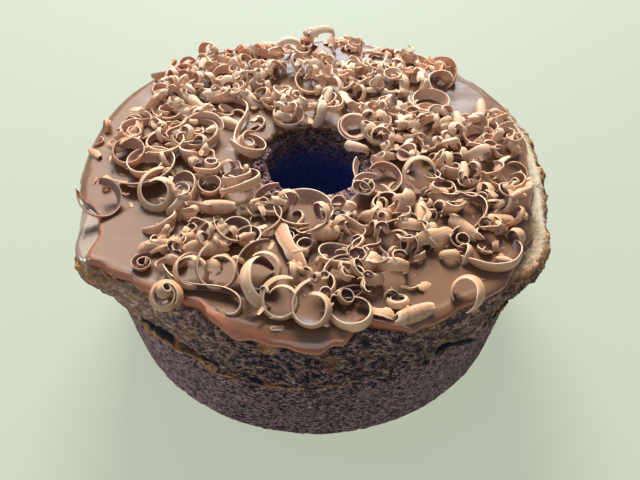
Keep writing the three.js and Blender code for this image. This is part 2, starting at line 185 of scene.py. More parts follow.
@dataclass(frozen=True)
class CakeForm:
    """The sizes of the cake and the surfaces that follow from them."""

    height: float = 80
    base_radius: float = 92.5
    rim_radius: float = 102.5
    base_round: float = 3
    hole_base_radius: float = 26
    hole_top_radius: float = 21
    hole_round: float = 3
    shoulder: float = 5
    front_angle: float = 258
    front_spread: float = 32
    lips: tuple[Lip, ...] = (Lip(213, 10, 11), Lip(328, 12, 7), Lip(308, 14, 2), Lip(180, 16, -1))
    lip_from: float = 56
    lip_to: float = 75.2
    tear_height: float = 44
    tear_wander: float = 5
    tear_depth: float = 2.8
    tear_half: float = 3.2
    tear_mean: float = 0.65
    tear_vary: float = 0.35
    bulge: float = 1.1
    crag_depth: float = 2.4
    crag_cells: int = 44
    crag_pitch: float = 7
    crag_low: float = 0.12
    crag_fade: float = 0.6
    top_wave: float = 0.6
    hole_wave: float = 0.9
    icing_thick: float = 3
    icing_lip: float = 1.4
    icing_vary: float = 0.35
    icing_step_width: float = 1.2
    icing_outer: Table = (
        (0, 95), (8, 97), (21, 98), (43, 97), (90, 98), (130, 100), (150, 102), (190, 102),
        (202, 106), (213, 112.5), (219, 106), (227, 101), (236, 97.5), (243, 96.5), (248, 100.5),
        (258, 102.5), (268, 104), (275, 102.5), (281, 97), (292, 101.5), (300, 102), (311, 104),
        (319, 103), (329, 101), (340, 97),
    )
    icing_step: Table = (
        (0, 130), (186, 130), (194, 101), (203, 96.5), (208, 98.5), (215, 108), (219, 130),
    )
    icing_smear: float = 0.9
    icing_inner: Table = (
        (0, 24), (70, 22), (150, 23.5), (190, 27.5), (220, 28), (262, 29.5), (295, 30), (330, 27),
    )

    def bump(self, angle: Array, centre: float, spread: float) -> Array:
        """Gives a soft bump of 1 at an angle in degrees, for angles in radians."""
        apart = np.mod(np.degrees(angle) - centre + 540, 360) - 180
        return bell(apart, 0, spread)

    def around(self, table: Table, angle: Array) -> Array:
        """Reads a table of degrees and sizes, eased between its rows.

        Args:
            table: Rows of an angle in degrees and a size.
            angle: Angles in radians.

        Returns:
            The size at each angle.
        """
        deg = np.mod(np.degrees(angle), 360)
        starts = np.array([row[0] for row in table])
        sizes = np.array([row[1] for row in table])
        k = np.searchsorted(starts, deg, side="right") - 1
        following = (k + 1) % len(table)
        span = np.mod(starts[following] - starts[k], 360)
        return lerp(sizes[k], sizes[following], smoothstep((deg - starts[k]) / span, 0, 1))

    def lip(self, angle: Array) -> Array:
        """Gives how far the lips reach past the rim at each angle."""
        return sum(one.reach * self.bump(angle, one.angle, one.spread) for one in self.lips)

    def tear_at(self, angle: Array) -> Array:
        """Gives the height of the tear in the side at each angle."""
        return self.tear_height + self.tear_wander * unevenness(angle, 40, 17)

    def side_radius(self, angle: Array, z: Array) -> Array:
        """Gives the outer radius of the sponge's side.

        Args:
            angle: Angles in radians.
            z: Heights above the base.

        Returns:
            The radius at each place, with lips, tear and crags.
        """
        tear = self.tear_at(angle)
        above = smoothstep((z - tear) / self.tear_half, -1, 1)
        crag = unevenness(angle, z / self.crag_pitch, self.crag_cells)
        tearing = self.tear_mean + self.tear_vary * unevenness(angle, 60, 13)
        return (
            lerp(self.base_radius, self.rim_radius, z / self.height)
            + self.lip(angle) * smoothstep(z, self.lip_from, self.lip_to)
            + self.bulge * above * (1 - smoothstep(z, self.lip_from, self.height))
            - self.tear_depth * tearing * bell(z, tear, self.tear_half)
            + self.crag_depth * crag * lerp(self.crag_low, 1, above)
            * (1 - self.crag_fade * smoothstep(z, self.lip_to, self.height))
        )

    def on_top(self, angle: Array, length: Array) -> tuple[Array, Array, Array, Array]:
        """Finds places on the top of the sponge, over its shoulder and down its side.

        Args:
            angle: Angles in radians.
            length: Lengths along the surface, measured from the axis.

        Returns:
            Radius, height, and the radial and upward parts of the outward direction.
        """
        bend = self.shoulder
        flat = self.rim_radius + self.lip(angle) - bend
        turned = np.clip((length - flat) / bend, 0, math.pi / 2)
        down = np.maximum(length - flat - bend * math.pi / 2, 0)
        r = np.minimum(length, flat) + bend * np.sin(turned)
        wave = self.top_wave * unevenness(angle, r / 30, 9)
        z = self.height + wave - bend * (1 - np.cos(turned)) - down
        return r, z, np.sin(turned), np.cos(turned)

    def icing_thickness(self, angle: Array, length: Array) -> Array:
        """Gives the thickness of the icing, less past the step at the left.

        Args:
            angle: Angles in radians.
            length: Lengths along the surface, measured from the axis.

        Returns:
            The thickness at each place.
        """
        inner, outer = self.around(self.icing_inner, angle), self.around(self.icing_outer, angle)
        share = (length - inner) / (outer - inner)
        lip_here = self.bump(angle, self.front_angle, self.front_spread) * smoothstep(share, 0.8, 1)
        uneven = self.icing_vary * unevenness(angle, share * 4, 21)
        full = self.icing_thick + self.icing_lip * lip_here + uneven
        step = self.around(self.icing_step, angle)
        return lerp(full, self.icing_smear, smoothstep(length, step, step + self.icing_step_width))

    def icing_height(self, x: Array, y: Array) -> Array:
        """Gives the height of the icing's upper surface.

        Args:
            x: Places along X.
            y: Places along Y.

        Returns:
            The height at each place.
        """
        angle, radius = np.arctan2(y, x), np.hypot(x, y)
        inner, outer = self.around(self.icing_inner, angle), self.around(self.icing_outer, angle)
        return self.on_top(angle, radius)[1] + self.icing_thickness(angle, np.clip(radius, inner, outer))


CAKE = CakeForm()


# Meshes


def add_piece(
    mesh: bpy.types.Mesh, node: str, material: bpy.types.Material,
) -> bpy.types.Object:
    """Puts a mesh in the scene as a piece of the cake.

    Args:
        mesh: The finished mesh, whose name the piece takes.
        node: The CAD node that the piece stands for.
        material: The finish.

    Returns:
        The new object.
    """
    piece = bpy.data.objects.new(mesh.name, mesh)
    bpy.context.collection.objects.link(piece)
    mesh.materials.append(material)
    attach(piece, "root")
    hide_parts(node)
    LOG.info("%s: %d faces", mesh.name, len(mesh.polygons))
    return piece


def set_values(mesh: bpy.types.Mesh, **values: Array) -> None:
    """Stores named values on a mesh's vertices for its material to read.

    Args:
        mesh: The mesh.
        values: One number for each vertex, by name.
    """
    for name, numbers in values.items():
        layer = mesh.attributes.new(name, "FLOAT", "POINT")
        layer.data.foreach_set("value", np.asarray(numbers, np.float32))


def ring_mesh(
    name: str, rows: int, steps: int, place: Callable[[Array, Array], Array],
) -> bpy.types.Mesh:
    """Spins a closed outline round the axis and sets each of its rows in place.

    Args:
        name: The mesh's name.
        rows: How many points the outline has.
        steps: How many steps go round the axis.
        place: Gives places in millimetres for arrays of angles and row numbers.

    Returns:
        The closed ring, in metres.
    """
    bm = bmesh.new()
    made = bmesh.ops.create_circle(bm, segments=rows, radius=0.5)
    for vert in made["verts"]:
        turn = math.atan2(vert.co.y, vert.co.x)
        vert.co = Vector((1 + 0.5 * math.cos(turn), 0, 0.5 * math.sin(turn)))
    bmesh.ops.spin(
        bm, geom=bm.verts[:] + bm.edges[:], cent=(0, 0, 0), axis=(0, 0, 1), dvec=(0, 0, 0),
        angle=TURN, steps=steps, use_merge=True, use_normal_flip=False, use_duplicate=False,
    )
    bmesh.ops.remove_doubles(bm, verts=bm.verts[:], dist=1e-5)
    mesh = bpy.data.meshes.new(name)
    bm.to_mesh(mesh)
    co = np.empty(3 * len(mesh.vertices))
    mesh.vertices.foreach_get("co", co)
    co = co.reshape(-1, 3)
    angle = np.mod(np.arctan2(co[:, 1], co[:, 0]), TURN)
    section = np.arctan2(co[:, 2], np.hypot(co[:, 0], co[:, 1]) - 1)
    row = np.mod(np.rint(section / TURN * rows), rows).astype(np.int64)
    mesh.vertices.foreach_set("co", (place(angle, row) * MM).ravel())
    bm.free()
    bm = bmesh.new()
    bm.from_mesh(mesh)
    bmesh.ops.recalc_face_normals(bm, faces=bm.faces[:])
    bm.to_mesh(mesh)
    bm.free()
    mesh.shade_smooth()
    return mesh


# Shader nodes


class Nodes:
    """Adds nodes to a tree and links them by short calls."""

    def __init__(self, tree: bpy.types.NodeTree) -> None:
        """Takes the tree to build in."""
        self.tree = tree

    def add(self, kind: str, **inputs: object) -> bpy.types.Node:
        """Adds a node and sets or links its inputs.

        Args:
            kind: The node's type, without its ShaderNode prefix.
            inputs: Values or output sockets by input name, with _ for a space, or by number as n0.

        Returns:
            The new node.
        """
        node = self.tree.nodes.new("ShaderNode" + kind)
        self.feed(node, **inputs)
        return node

    def feed(self, node: bpy.types.Node, **inputs: object) -> None:
        """Sets or links a node's inputs.

        Args:
            node: The node.
            inputs: Values or output sockets by input name, with _ for a space, or by number as n0.
        """
        for name, value in inputs.items():
            key = int(name[1:]) if name[0] == "n" and name[1:].isdigit() else name.replace("_", " ")
            socket = node.inputs[key]
            if isinstance(value, bpy.types.NodeSocket):
                self.tree.links.new(value, socket)
            else:
                socket.default_value = value

    def value(self, name: str) -> bpy.types.NodeSocket:
        """Reads a value that is stored on the mesh.

        Args:
            name: The value's name.

        Returns:
            The value's socket.
        """
        node = self.add("Attribute")
        node.attribute_name = name
        return node.outputs["Fac"]

    def math(self, operation: str, *inputs: object) -> bpy.types.NodeSocket:
        """Works out one sum.

        Args:
            operation: The kind of sum.
            inputs: Numbers or sockets.

        Returns:
            The result's socket.
        """
        node = self.add("Math", **{f"n{k}": v for k, v in enumerate(inputs)})
        node.operation = operation
        return node.outputs[0]

    def times(self, a: object, b: object) -> bpy.types.NodeSocket:
        """Multiplies two numbers or sockets."""
        return self.math("MULTIPLY", a, b)

    def mix(self, share: object, a: object, b: object, blend: str = "MIX") -> bpy.types.NodeSocket:
        """Mixes two colours by a share.

        Args:
            share: A number or socket from 0 to 1.
            a: The colour at 0.
            b: The colour at 1.
            blend: The way of mixing.

        Returns:
            The mixed colour.
        """
        node = self.tree.nodes.new("ShaderNodeMix")
        node.data_type = "RGBA"
        node.blend_type = blend
        self.feed(node, n0=share, n6=a, n7=b)
        return node.outputs[2]

    def ramp(self, value: object, low: float, high: float) -> bpy.types.NodeSocket:
        """Stretches a value so that low becomes 0 and high becomes 1, and holds it there.

        Args:
            value: A number or socket.
            low: What becomes 0.
            high: What becomes 1.

        Returns:
            The stretched value's socket.
        """
        node = self.add("MapRange", Value=value, From_Min=low, From_Max=high)
        node.clamp = True
        return node.outputs[0]

    def noise(
        self, place: object, scale: float, detail: float = 3, stretch: Triple = (1, 1, 1),
    ) -> bpy.types.NodeSocket:
        """Makes noise from places.

        Args:
            place: The socket that gives the places.
            scale: Cells in each metre of the places.
            detail: How many finer layers it has.
            stretch: Further scale along each direction.

        Returns:
            Values around 0.5.
        """
        at = self.add("Mapping", Vector=place, Scale=stretch)
        node = self.add("TexNoise", Vector=at.outputs[0], Scale=scale, Detail=detail, Roughness=0.6)
        return node.outputs[0]


def linear(red: int, green: int, blue: int) -> tuple[float, float, float, float]:
    """Turns a screen colour into the shader's linear colour.

    Args:
        red: Red, from 0 to 255.
        green: Green, from 0 to 255.
        blue: Blue, from 0 to 255.

    Returns:
        The linear colour, with a fourth number of 1.
    """
    def one(c: int) -> float:
        """Turns one channel."""
        s = c / 255
        return s / 12.92 if s <= 0.04045 else ((s + 0.055) / 1.055) ** 2.4
    return one(red), one(green), one(blue), 1.0


@dataclass(frozen=True)
class CrumbEffect:
    """The shared crumb effect: soft speckle, sharp pits and height from Object coordinates."""

    name: str = "crumb_speckle"
    flatten: Triple = (1, 1, 1.9)
    finer: float = 2.2
    fine_rough: float = 0.7
    gap_rough: float = 0.68
    speckle: Range = (0.4, 0.64)
    pits: Range = (0.525, 0.425)
    rise: Range = (0.34, 0.55)
    fine_rise: float = 0.6

    def group(self) -> bpy.types.NodeTree:
        """Builds the effect, once for all that use it.

        Returns:
            The node group, with Scale in and Speckle, Pits and Height out.
        """
        tree = bpy.data.node_groups.get(self.name)
        if tree:
            return tree
        tree = bpy.data.node_groups.new(self.name, "ShaderNodeTree")
        tree.interface.new_socket("Scale", in_out="INPUT", socket_type="NodeSocketFloat")
        for name in ("Speckle", "Pits", "Height"):
            tree.interface.new_socket(name, in_out="OUTPUT", socket_type="NodeSocketFloat")
        nodes = Nodes(tree)
        scale = tree.nodes.new("NodeGroupInput").outputs[0]
        leave = tree.nodes.new("NodeGroupOutput")
        place = nodes.add("TexCoord").outputs["Object"]
        flat = nodes.add("Mapping", Vector=place, Scale=self.flatten).outputs[0]
        finer = nodes.times(scale, self.finer)
        fine = nodes.add("TexNoise", Vector=flat, Scale=finer, Detail=3, Roughness=self.fine_rough)
        gaps = nodes.add("TexNoise", Vector=flat, Scale=scale, Detail=4, Roughness=self.gap_rough)
        fine, gaps = fine.outputs[0], gaps.outputs[0]
        rise = nodes.math("ADD", nodes.times(fine, self.fine_rise), nodes.ramp(gaps, *self.rise))
        nodes.feed(leave, Speckle=nodes.ramp(fine, *self.speckle), Pits=nodes.ramp(gaps, *self.pits))
        nodes.feed(leave, Height=rise)
        return tree


def new_material(name: str) -> tuple[bpy.types.Material, Nodes, bpy.types.Node]:
    """Starts a material.

    Args:
        name: The material's name.

    Returns:
        The material, its nodes and its Principled shader.
    """
    material = bpy.data.materials.new(name)
    material.use_nodes = True
    shader = next(n for n in material.node_tree.nodes if n.type == "BSDF_PRINCIPLED")
    return material, Nodes(material.node_tree), shader


@dataclass(frozen=True)
class SpongeFinish:
    """Dark crumb with a pale film of glaze, golden edges partly painted as highlight, a painted lit side
    and painted shade in pores, cracks, hole and back.
    """

    smooth: Colour = (88, 58, 68)
    torn: Colour = (124, 84, 96)
    patch: Colour = (66, 44, 42)
    # Pale crumb, for the speckle and for the painted sunlight on the lit side.
    light: Colour = (232, 184, 180)
    crumb_light: Colour = (248, 198, 172)
    # The blue-black of shade, painted in the pores and cracks.
    pore: Colour = (11, 15, 42)
    golden: Colour = (250, 172, 84)
    film: Colour = (170, 160, 136)
    # Painted shade deep in the hole.
    hole: Colour = (10, 58, 156)
    # Painted shade: multiplies the back of the sponge darker and warmer.
    painted_back_shade: Colour = (176, 160, 132)
    fine_scale: float = 460
    coarse_scale: float = 240
    patch_scale: float = 70
    gold_scale: float = 190
    film_scale: float = 160
    patch_share: float = 0.35
    # Painted light: how far the lit side pales the crumb and its speckle and fades its pores.
    painted_sunlight_share: float = 0.8
    painted_sunlight_pits: float = 0.5
    speckle_share: float = 0.72
    painted_sunlight_speckle: float = 0.3
    crust_share: float = 0.2
    crack_break: float = 0.25
    crack_edge: Range = (0.16, 0.38)
    roughness: float = 0.9
    film_gloss: float = 0.5
    relief: float = 0.0012

    def crumb(self, nodes: Nodes, scale: float) -> bpy.types.Node:
        """Adds the crumb effect.

        Args:
            nodes: The material's nodes.
            scale: Cells in each metre.

        Returns:
            The node of the effect.
        """
        node = nodes.tree.nodes.new("ShaderNodeGroup")
        node.node_tree = CrumbEffect().group()
        node.inputs["Scale"].default_value = scale
        return node

    def colour(
        self, nodes: Nodes, place: bpy.types.NodeSocket, fine: bpy.types.Node, coarse: bpy.types.Node,
    ) -> bpy.types.NodeSocket:
        """Mixes the crumb's colours, from the plain crumb to its painted sunlight, its pores, cracks and
        hole in painted shade, its golden highlights and the painted shade at the back.

        Args:
            nodes: The material's nodes.
            place: Object coordinates.
            fine: The fine crumb effect.
            coarse: The coarse crumb effect.

        Returns:
            The colour, without the film of glaze.
        """
        torn, painted_sunlight = nodes.value("torn"), nodes.value("painted_sunlight")
        colour = nodes.mix(torn, linear(*self.smooth), linear(*self.torn))
        patch = nodes.ramp(nodes.noise(place, self.patch_scale), 0.35, 0.65)
        colour = nodes.mix(nodes.times(patch, self.patch_share), colour, linear(*self.patch))
        light = nodes.mix(torn, linear(*self.light), linear(*self.crumb_light))
        # Painted light: the crumb is paler on the side that the light falls on, its speckle too.
        colour = nodes.mix(nodes.times(painted_sunlight, self.painted_sunlight_share), colour, light)
        paler = nodes.math("ADD", self.speckle_share, nodes.times(painted_sunlight, self.painted_sunlight_speckle))
        colour = nodes.mix(nodes.times(fine.outputs["Speckle"], paler), colour, light)
        crust = nodes.times(torn, nodes.ramp(coarse.outputs["Speckle"], 0.5, 0.95))
        colour = nodes.mix(nodes.times(crust, self.crust_share), colour, linear(*self.golden))
        # Painted shade: pores, pits and hollows are painted blue-black, fainter on the painted lit side.
        pit = nodes.math("MAXIMUM", fine.outputs["Pits"], nodes.times(coarse.outputs["Pits"], torn))
        pit = nodes.math("MAXIMUM", nodes.value("pit"), pit)
        faint = nodes.math("SUBTRACT", 1.0, nodes.times(painted_sunlight, self.painted_sunlight_pits))
        colour = nodes.mix(nodes.times(pit, faint), colour, linear(*self.pore))
        # Painted shade: the inside of the cracks and the gap under the icing's lip, with ragged edges.
        broken = nodes.times(coarse.outputs["Height"], self.crack_break)
        crack = nodes.ramp(nodes.math("SUBTRACT", nodes.value("crack"), broken), *self.crack_edge)
        colour = nodes.mix(crack, colour, linear(*self.pore))
        # Golden crumb: partly random spots, partly painted highlight on ledges, lip tops and raised
        # crumbs.
        gold = nodes.ramp(nodes.noise(place, self.gold_scale), 0.32, 0.5)
        colour = nodes.mix(nodes.times(nodes.value("gold"), gold), colour, linear(*self.golden))
        # Painted shade: the back of the sponge is darkened and warmed.
        colour = nodes.mix(nodes.value("painted_back_shade"), colour, linear(*self.painted_back_shade), "MULTIPLY")
        # Painted shade: deeper down the hole the crumb turns blue-black.
        return nodes.mix(nodes.value("hole"), colour, linear(*self.hole))

    def material(self) -> bpy.types.Material:
        """Builds the finish.

        Returns:
            The material, which reads torn, pit, crack, sun, gold, baked, film and hole from the mesh.
        """
        material, nodes, shader = new_material("sponge_crumb")
        place = nodes.add("TexCoord").outputs["Object"]
        fine, coarse = self.crumb(nodes, self.fine_scale), self.crumb(nodes, self.coarse_scale)
        film = nodes.ramp(nodes.noise(place, self.film_scale), 0.1, 0.34)
        film = nodes.times(nodes.value("film"), film)
        colour = nodes.mix(film, self.colour(nodes, place, fine, coarse), linear(*self.film))
        rough = nodes.math("SUBTRACT", self.roughness, nodes.times(film, self.film_gloss))
        rise = nodes.times(coarse.outputs["Height"], nodes.value("torn"))
        rise = nodes.math("ADD", fine.outputs["Height"], rise)
        rise = nodes.times(rise, nodes.math("SUBTRACT", 1.0, film))
        bump = nodes.add("Bump", Height=rise, Strength=0.9, Distance=self.relief)
        nodes.feed(shader, Base_Color=colour, Roughness=rough, Normal=bump.outputs[0])
        nodes.feed(shader, Specular_IOR_Level=0.25)
        return material


@dataclass(frozen=True)
class IcingFinish:
    """Glossy chocolate icing, redder where it thins out at its edges, and paler and bluer in the thin
    smear, partly painted reflection.
    """

    body: Colour = (113, 79, 54)
    cloud: Colour = (92, 64, 50)
    thin: Colour = (176, 94, 58)
    # Thin glaze over the crumb, greyed towards blue as painted reflection of the sky.
    smear: Colour = (148, 130, 114)
    cloud_scale: float = 40
    cloud_share: float = 0.35
    drag_scale: float = 90
    drag_stretch: Triple = (1, 2.5, 1)
    roughness: float = 0.19
    drag_rough: float = 0.08
    smear_gloss: float = 0.14

    def material(self) -> bpy.types.Material:
        """Builds the finish.

        Returns:
            The material, which reads edge and smear from the mesh.
        """
        material, nodes, shader = new_material("chocolate_icing")
        place, smear = nodes.add("TexCoord").outputs["Object"], nodes.value("smear")
        cloud = nodes.ramp(nodes.noise(place, self.cloud_scale), 0.3, 0.7)
        colour = nodes.mix(nodes.times(cloud, self.cloud_share), linear(*self.body), linear(*self.cloud))
        # The thin smear is paler, partly the thin glaze over the crumb and partly painted reflection.
        colour = nodes.mix(smear, colour, linear(*self.smear))
        colour = nodes.mix(nodes.value("edge"), colour, linear(*self.thin))
        drag = nodes.noise(place, self.drag_scale, 2, self.drag_stretch)
        rough = nodes.math("ADD", self.roughness, nodes.times(drag, self.drag_rough))
        rough = nodes.math("SUBTRACT", rough, nodes.times(smear, self.smear_gloss))
        bump = nodes.add("Bump", Height=drag, Strength=0.12, Distance=0.001)
        nodes.feed(shader, Base_Color=colour, Roughness=rough, Normal=bump.outputs[0])
        nodes.feed(shader, Coat_Weight=0.15, Coat_Roughness=0.1, Specular_IOR_Level=0.5)
        return material


@dataclass(frozen=True)
class CurlFinish:
    """Satin milk chocolate with fine lines along the ribbon, painted shade inside the curl, painted light
    towards the back, painted highlights on the edges and a painted amber glow of back light.
    """

    name: str = "milk_chocolate_curl"
    outside: Colour = (222, 178, 138)
    # Painted shade: the dark inner face, with lighter grooves.
    inside: Colour = (64, 43, 54)
    groove: Colour = (138, 93, 80)
    # Painted light: the inner face's colour towards the back, where more light falls.
    lit: Colour = (208, 166, 140)
    deep: Colour = (146, 97, 64)
    # Painted light: the paler outside towards the back.
    pale: Colour = (216, 186, 158)
    # Painted highlight along the ribbon's edges.
    edge: Colour = (250, 220, 186)
    # Painted light: the amber glow of back light through thin curls near the rim.
    amber: Colour = (192, 106, 54)
    line_stretch: Triple = (30, 1600, 1)
    tone_share: float = 0.45
    line_share: float = 0.4
    pale_share: float = 0.72
    amber_share: float = 0.6
    edge_highlight_share: float = 0.6
    edge_power: float = 7.0

    def material(self) -> bpy.types.Material:
        """Builds the finish, once for all kinds of curl.

        Returns:
            The material, which reads side, across, tone, amber and lit and the map along the ribbon.
        """
        found = bpy.data.materials.get(self.name)
        if found:
            return found
        material, nodes, shader = new_material(self.name)
        along = nodes.add("UVMap")
        along.uv_map = "along"
        lines = nodes.noise(along.outputs[0], 1, 3, self.line_stretch)
        line = nodes.ramp(lines, 0.35, 0.7)
        amber, lit = nodes.value("amber"), nodes.value("lit")
        shade = nodes.times(nodes.value("tone"), self.tone_share)
        shade = nodes.math("ADD", shade, nodes.times(line, self.line_share))
        outside = nodes.mix(shade, linear(*self.outside), linear(*self.deep))
        # Painted light: towards the back the curls turn paler and their insides lighter.
        outside = nodes.mix(nodes.times(lit, self.pale_share), outside, linear(*self.pale))
        # Painted light: thin curls near the rim glow amber, as if lit through from behind.
        outside = nodes.mix(nodes.times(amber, self.amber_share), outside, linear(*self.amber))
        # Painted shade: the inner face of each curl is dark, as the curl shades it, with lighter streaks.
        inside = nodes.mix(line, linear(*self.inside), linear(*self.groove))
        inside = nodes.mix(lit, inside, linear(*self.lit))
        colour = nodes.mix(nodes.value("side"), inside, outside)
        # Painted highlight: the ribbon's edges are paler, amber where the painted back light glows.
        rim = nodes.math("POWER", nodes.math("ABSOLUTE", nodes.value("across")), self.edge_power)
        edge_highlight_and_glow = nodes.mix(amber, linear(*self.edge), linear(*self.amber))
        colour = nodes.mix(nodes.times(rim, self.edge_highlight_share), colour, edge_highlight_and_glow)
        bump = nodes.add("Bump", Height=lines, Strength=0.25, Distance=0.0004)
        nodes.feed(shader, Base_Color=colour, Roughness=0.38, Normal=bump.outputs[0])
        nodes.feed(shader, Specular_IOR_Level=0.38, Subsurface_Weight=0.06)
        nodes.feed(shader, Subsurface_Radius=(1.0, 0.45, 0.25), Subsurface_Scale=0.0015)
        return material


# Sponge


class Zone(Enum):
    """The parts of the sponge's outline, in order from the hole's foot, and the rows that each has."""

    BASE = 3
    SIDE = 84
    ROUND = 14
    TOP = 10
    HOLE = 16


@dataclass(frozen=True)
class Pores:
    """Scattered pores of one size, flattened by the cake's weight."""

    flatten: float
    pitch: float
    seed: int
    patchy: float
    edge: Range

    def depth(self, p: Array, patches: Array) -> Array:
        """Gives 1 in the middle of a pore and 0 outside.

        Args:
            p: Places, one row of three numbers each.
            patches: Values from -1 to 1 that make pores wider or narrower.

        Returns:
            One depth for each place.
        """
        far = pores(p * (1, 1, self.flatten), self.pitch, self.seed)
        return 1 - smoothstep(far - self.patchy * patches, *self.edge)


CRACKED_FRONT = (275, 40)
WHOLE_LEFT = (228, 24)


@dataclass(frozen=True)
class Crack:
    """A crack round the side above the tear, with painted shade inside and a golden ledge of painted
    highlight under it.

    The course, mouths and ledges are each the second place and the cells of an unevenness.
    """

    above: float
    wander: float
    course: tuple[float, int]
    mouths: tuple[float, int]
    front: float
    left: float
    opens: Range
    half: float
    widens: float
    dark_half: float
    ledge_below: float
    ledge_half: float
    ledge_share: float = 1
    ledges: tuple[float, int] | None = None
    dark_below: float = 1.3
    form: CakeForm = CAKE

    def height(self, angle: Array) -> Array:
        """Gives the crack's height at each angle."""
        return self.form.tear_at(angle) + self.above + self.wander * unevenness(angle, *self.course)

    def gape(self, angle: Array) -> Array:
        """Gives how far the crack stands open at each angle, from 0 to 1."""
        wide = unevenness(angle, *self.mouths) + self.front * self.form.bump(angle, *CRACKED_FRONT)
        return smoothstep(wide - self.left * self.form.bump(angle, *WHOLE_LEFT), *self.opens)

    def mouth(self, angle: Array, z: Array) -> Array:
        """Gives the crack's hollow, 1 at its middle."""
        gape = self.gape(angle)
        return bell(z, self.height(angle), self.half + self.widens * gape) * gape

    def dark(self, angle: Array, z: Array) -> Array:
        """Gives the painted shade inside the crack, a little lower than its mouth so that it shows."""
        return bell(z, self.height(angle) - self.dark_below, self.dark_half) * self.gape(angle)

    def ledge(self, angle: Array, z: Array) -> Array:
        """Gives the golden ledge under the crack, a painted highlight where its lower lip faces up.

        Args:
            angle: Angles in radians.
            z: Heights above the base.

        Returns:
            One value for each place, most in the middle of the ledge.
        """
        kept = self.gape(angle)
        if self.ledges:
            kept = smoothstep(unevenness(angle, *self.ledges), -0.9, -0.1)
        return self.ledge_share * kept * bell(z, self.height(angle) - self.ledge_below, self.ledge_half)


CRACKS = (
    Crack(above=5, wander=2, course=(80, 23), mouths=(90, 29), front=1.4, left=1, opens=(-0.2, 0.5),
          half=1.1, widens=0.6, dark_half=1.8, ledge_below=4.2, ledge_half=1.4, ledges=(60, 31)),
    Crack(above=12, wander=3, course=(85, 19), mouths=(95, 27), front=0.4, left=0, opens=(0, 0.4),
          half=1.4, widens=0, dark_half=1.7, ledge_below=3.8, ledge_half=1.2, ledge_share=0.8),
)


@dataclass
class Surface:
    """What is known of the sponge's vertices while they are worked on."""

    plain: Array
    angle: Array
    z: Array
    hole: Array
    torn: Array
    rough: Array
    hollow: Array
    small: Array
    film: Array
    length: Array


